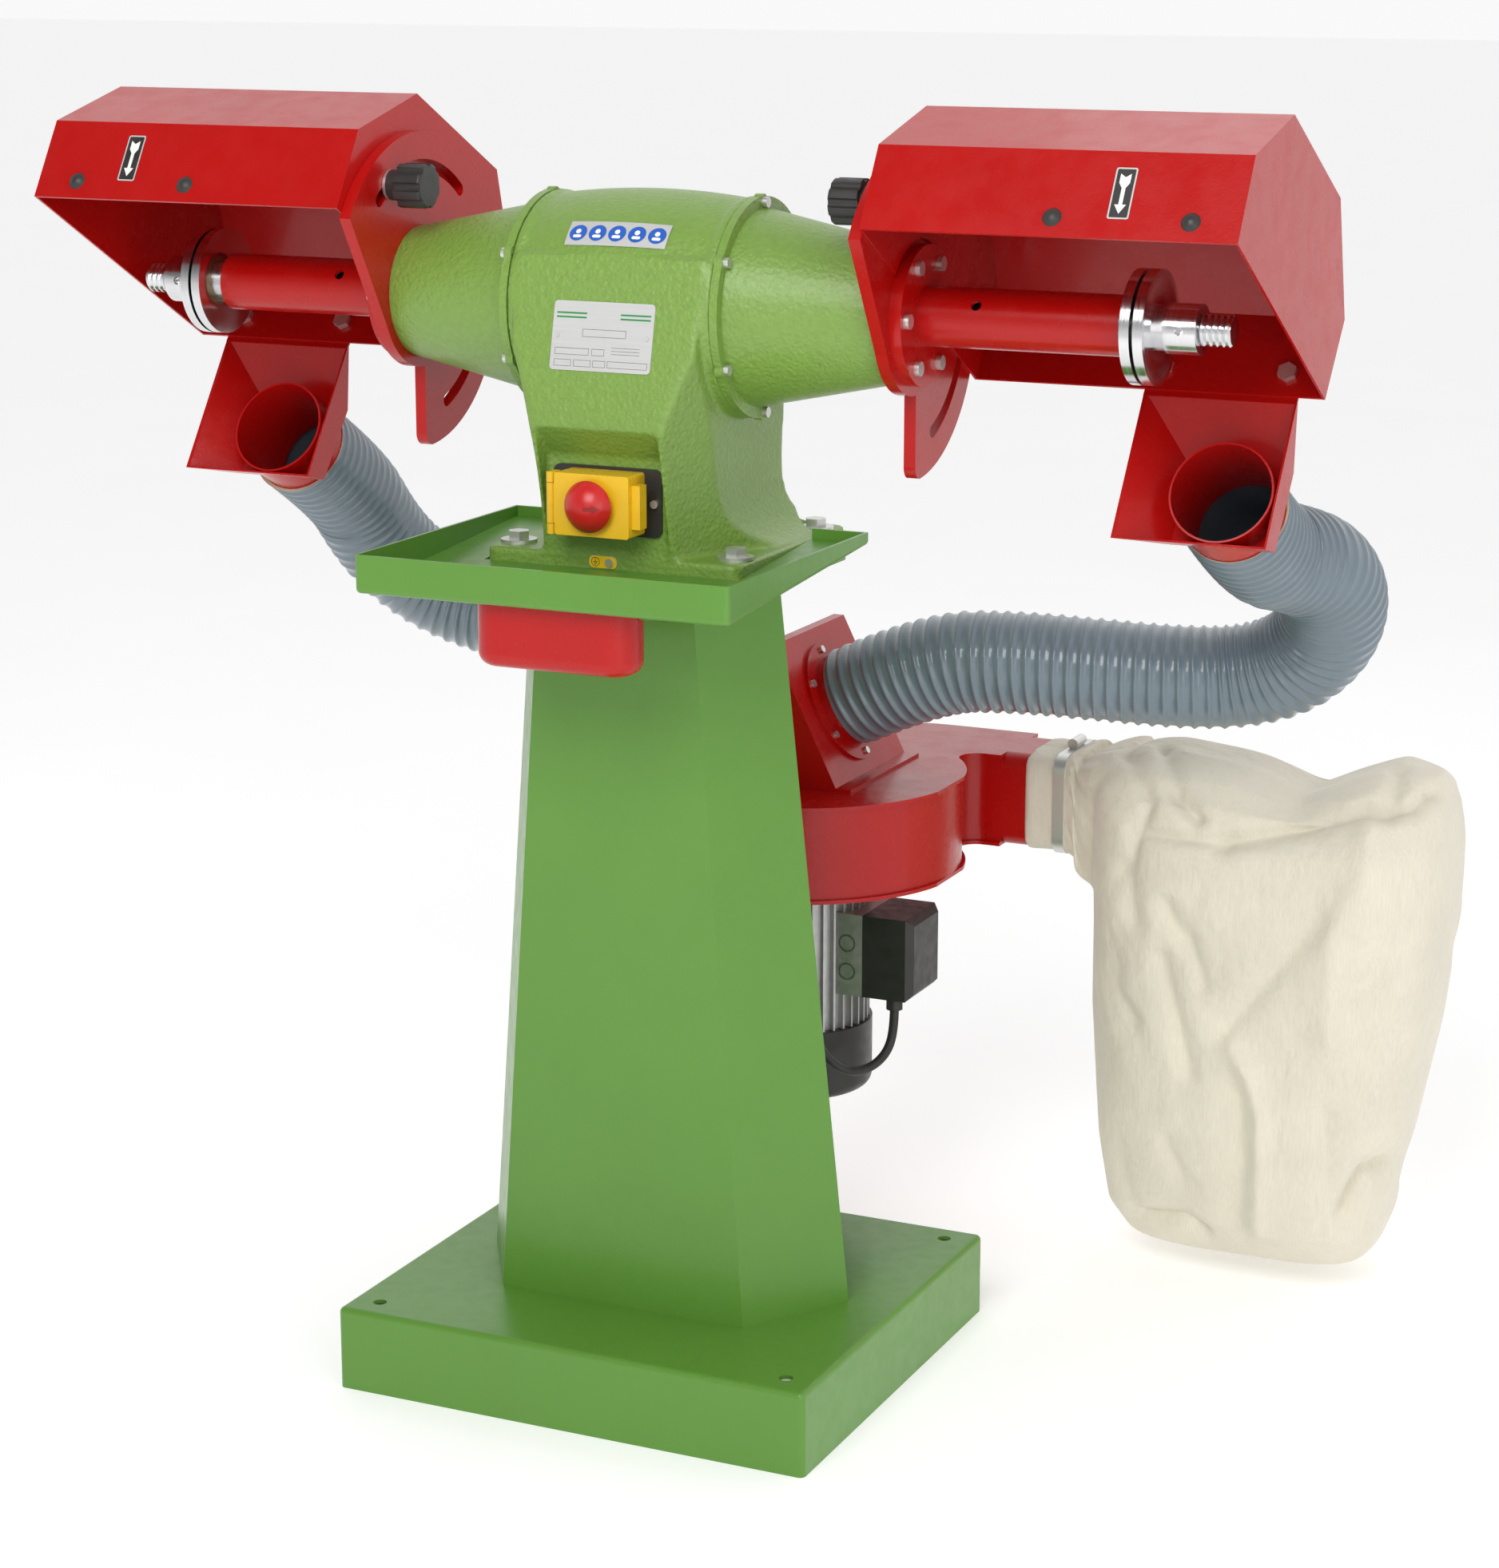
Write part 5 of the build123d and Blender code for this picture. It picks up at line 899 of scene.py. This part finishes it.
class POLISHER_OT_cable(bpy.types.Operator):
    """Make the fan motor's cable, from its gland into the column"""
    bl_idname = "polisher.cable"
    bl_label = "Fan cable"

    def execute(self, context):
        radius = context.scene.polisher_hoses.cable
        distances = route_line("fan_cable_line", CABLE_ROUTE)[1]
        curve = route_curve("fan_motor_cable", CABLE_ROUTE)
        curve.bevel_depth = radius
        curve.bevel_resolution = 6
        curve.use_fill_caps = True
        cable = piece("fan_motor_cable", curve, "stand", "cable_rubber")
        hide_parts("fan_cable")
        return {"FINISHED"}


# The solid parts that carry each finish
NODE_FINISHES = {
    "sheet_green": ("base_plinth", "column_front", "column_rear", "head_plate", "drip_tray", "pot_runners",
                    "fan_bracket"),
    "casting_green": ("left_end_bell", "right_end_bell"),
    "gloss_red": ("drip_pot", "left_hood", "right_hood", "left_chute", "right_chute", "left_sector_plate",
                  "right_sector_plate", "left_spindle_tube", "right_spindle_tube", "volute_housing",
                  "volute_cover", "inlet_plenum", "hose_spigots"),
    "plated_steel": ("foot_bolts", "motor_screws", "small_screws", "left_hood_studs", "right_hood_studs",
                     "bag_clamp"),
    "turned_steel": ("spindle_shaft", "inner_flanges", "outer_flanges", "clamp_nuts"),
    "dull_steel": ("stator_core", "rotor_core", "motor_bearings", "fan_shaft"),
    "plate_silver": ("motor_plates",),
    "copper": ("stator_windings",),
    "bronze": ("nose_bushes",),
    "cast_alloy": ("fan_motor_body", "impeller"),
    "moulded_black": ("switch_plate", "terminal_box", "cable_glands", "fan_cowl", "left_knob", "right_knob",
                      "left_hood_plugs", "right_hood_plugs", "stop_button"),
    "switch_yellow": ("switch_box", "switch_flap"),
    "switch_red": ("stop_mushroom",),
    "switch_green": ("start_button",),
}
# Widths of the softened edges, in metres, and the bend past which an edge is softened
PLAIN_EDGE_WIDTH = 0.0005
EDGE_WIDTHS = {
    "base_plinth": 0.0012, "column_front": 0.003, "column_rear": 0.003, "drip_tray": 0.001,
    "left_hood": 0.0009, "right_hood": 0.0009, "left_chute": 0.0006, "right_chute": 0.0006,
    "left_sector_plate": 0.0012, "right_sector_plate": 0.0012, "left_end_bell": 0.0015,
    "right_end_bell": 0.0015, "terminal_box": 0.002, "switch_box": 0.001, "switch_flap": 0.0012,
    "drip_pot": 0.0008, "inlet_plenum": 0.0008, "volute_cover": 0.0012, "volute_housing": 0.0008,
    "fan_motor_body": 0.0006,
}
SHARP_BEND = math.radians(35)


class POLISHER_OT_finishes(bpy.types.Operator):
    """Paint the solid parts and soften their edges"""
    bl_idname = "polisher.finishes"
    bl_label = "Paint and metal"

    def execute(self, context):
        for name, nodes in NODE_FINISHES.items():
            for node in nodes:
                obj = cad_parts[node]
                repaint(obj, name)
                bevel = obj.modifiers.new("softened_edges", "BEVEL")
                bevel.width = EDGE_WIDTHS.get(node, PLAIN_EDGE_WIDTH)
                bevel.segments = 2
                bevel.limit_method = "ANGLE"
                bevel.angle_limit = SHARP_BEND
                bevel.harden_normals = True
        return {"FINISHED"}


class POLISHER_PT_looks(bpy.types.Panel):
    """The machine's settings and the steps that use them"""
    bl_idname = "POLISHER_PT_looks"
    bl_label = "Polisher"
    bl_space_type = "VIEW_3D"
    bl_region_type = "UI"
    bl_category = "Polisher"

    def draw(self, context):
        for group in (context.scene.polisher_paint, context.scene.polisher_hoses, context.scene.polisher_bag,
                      context.scene.polisher_studio):
            box = self.layout.box()
            for name in group.__annotations__:
                box.prop(group, name)
        for kind in CLASSES:
            if issubclass(kind, bpy.types.Operator):
                self.layout.operator(kind.bl_idname)


CLASSES = (
    PolisherPaint, PolisherHoses, PolisherBag, PolisherStudio,
    POLISHER_OT_studio, POLISHER_OT_finishes, POLISHER_OT_casting, POLISHER_OT_hoses, POLISHER_OT_cable,
    POLISHER_OT_bag, POLISHER_OT_plates, POLISHER_PT_looks,
)


def register():
    """Add the settings, the steps and the panel."""
    for kind in CLASSES:
        bpy.utils.register_class(kind)
    scene = bpy.types.Scene
    scene.polisher_paint = PointerProperty(type=PolisherPaint)
    scene.polisher_hoses = PointerProperty(type=PolisherHoses)
    scene.polisher_bag = PointerProperty(type=PolisherBag)
    scene.polisher_studio = PointerProperty(type=PolisherStudio)


def unregister():
    """Take them away again."""
    for name in ("polisher_paint", "polisher_hoses", "polisher_bag", "polisher_studio"):
        delattr(bpy.types.Scene, name)
    for kind in reversed(CLASSES):
        bpy.utils.unregister_class(kind)


def main():
    """Dress the machine."""
    register()
    make_finishes(bpy.context.scene.polisher_paint)
    bpy.ops.polisher.studio()
    bpy.ops.polisher.finishes()
    bpy.ops.polisher.casting()
    bpy.ops.polisher.hoses()
    bpy.ops.polisher.cable()
    bpy.ops.polisher.bag()
    bpy.ops.polisher.plates()


if __name__ == "__main__":
    main()
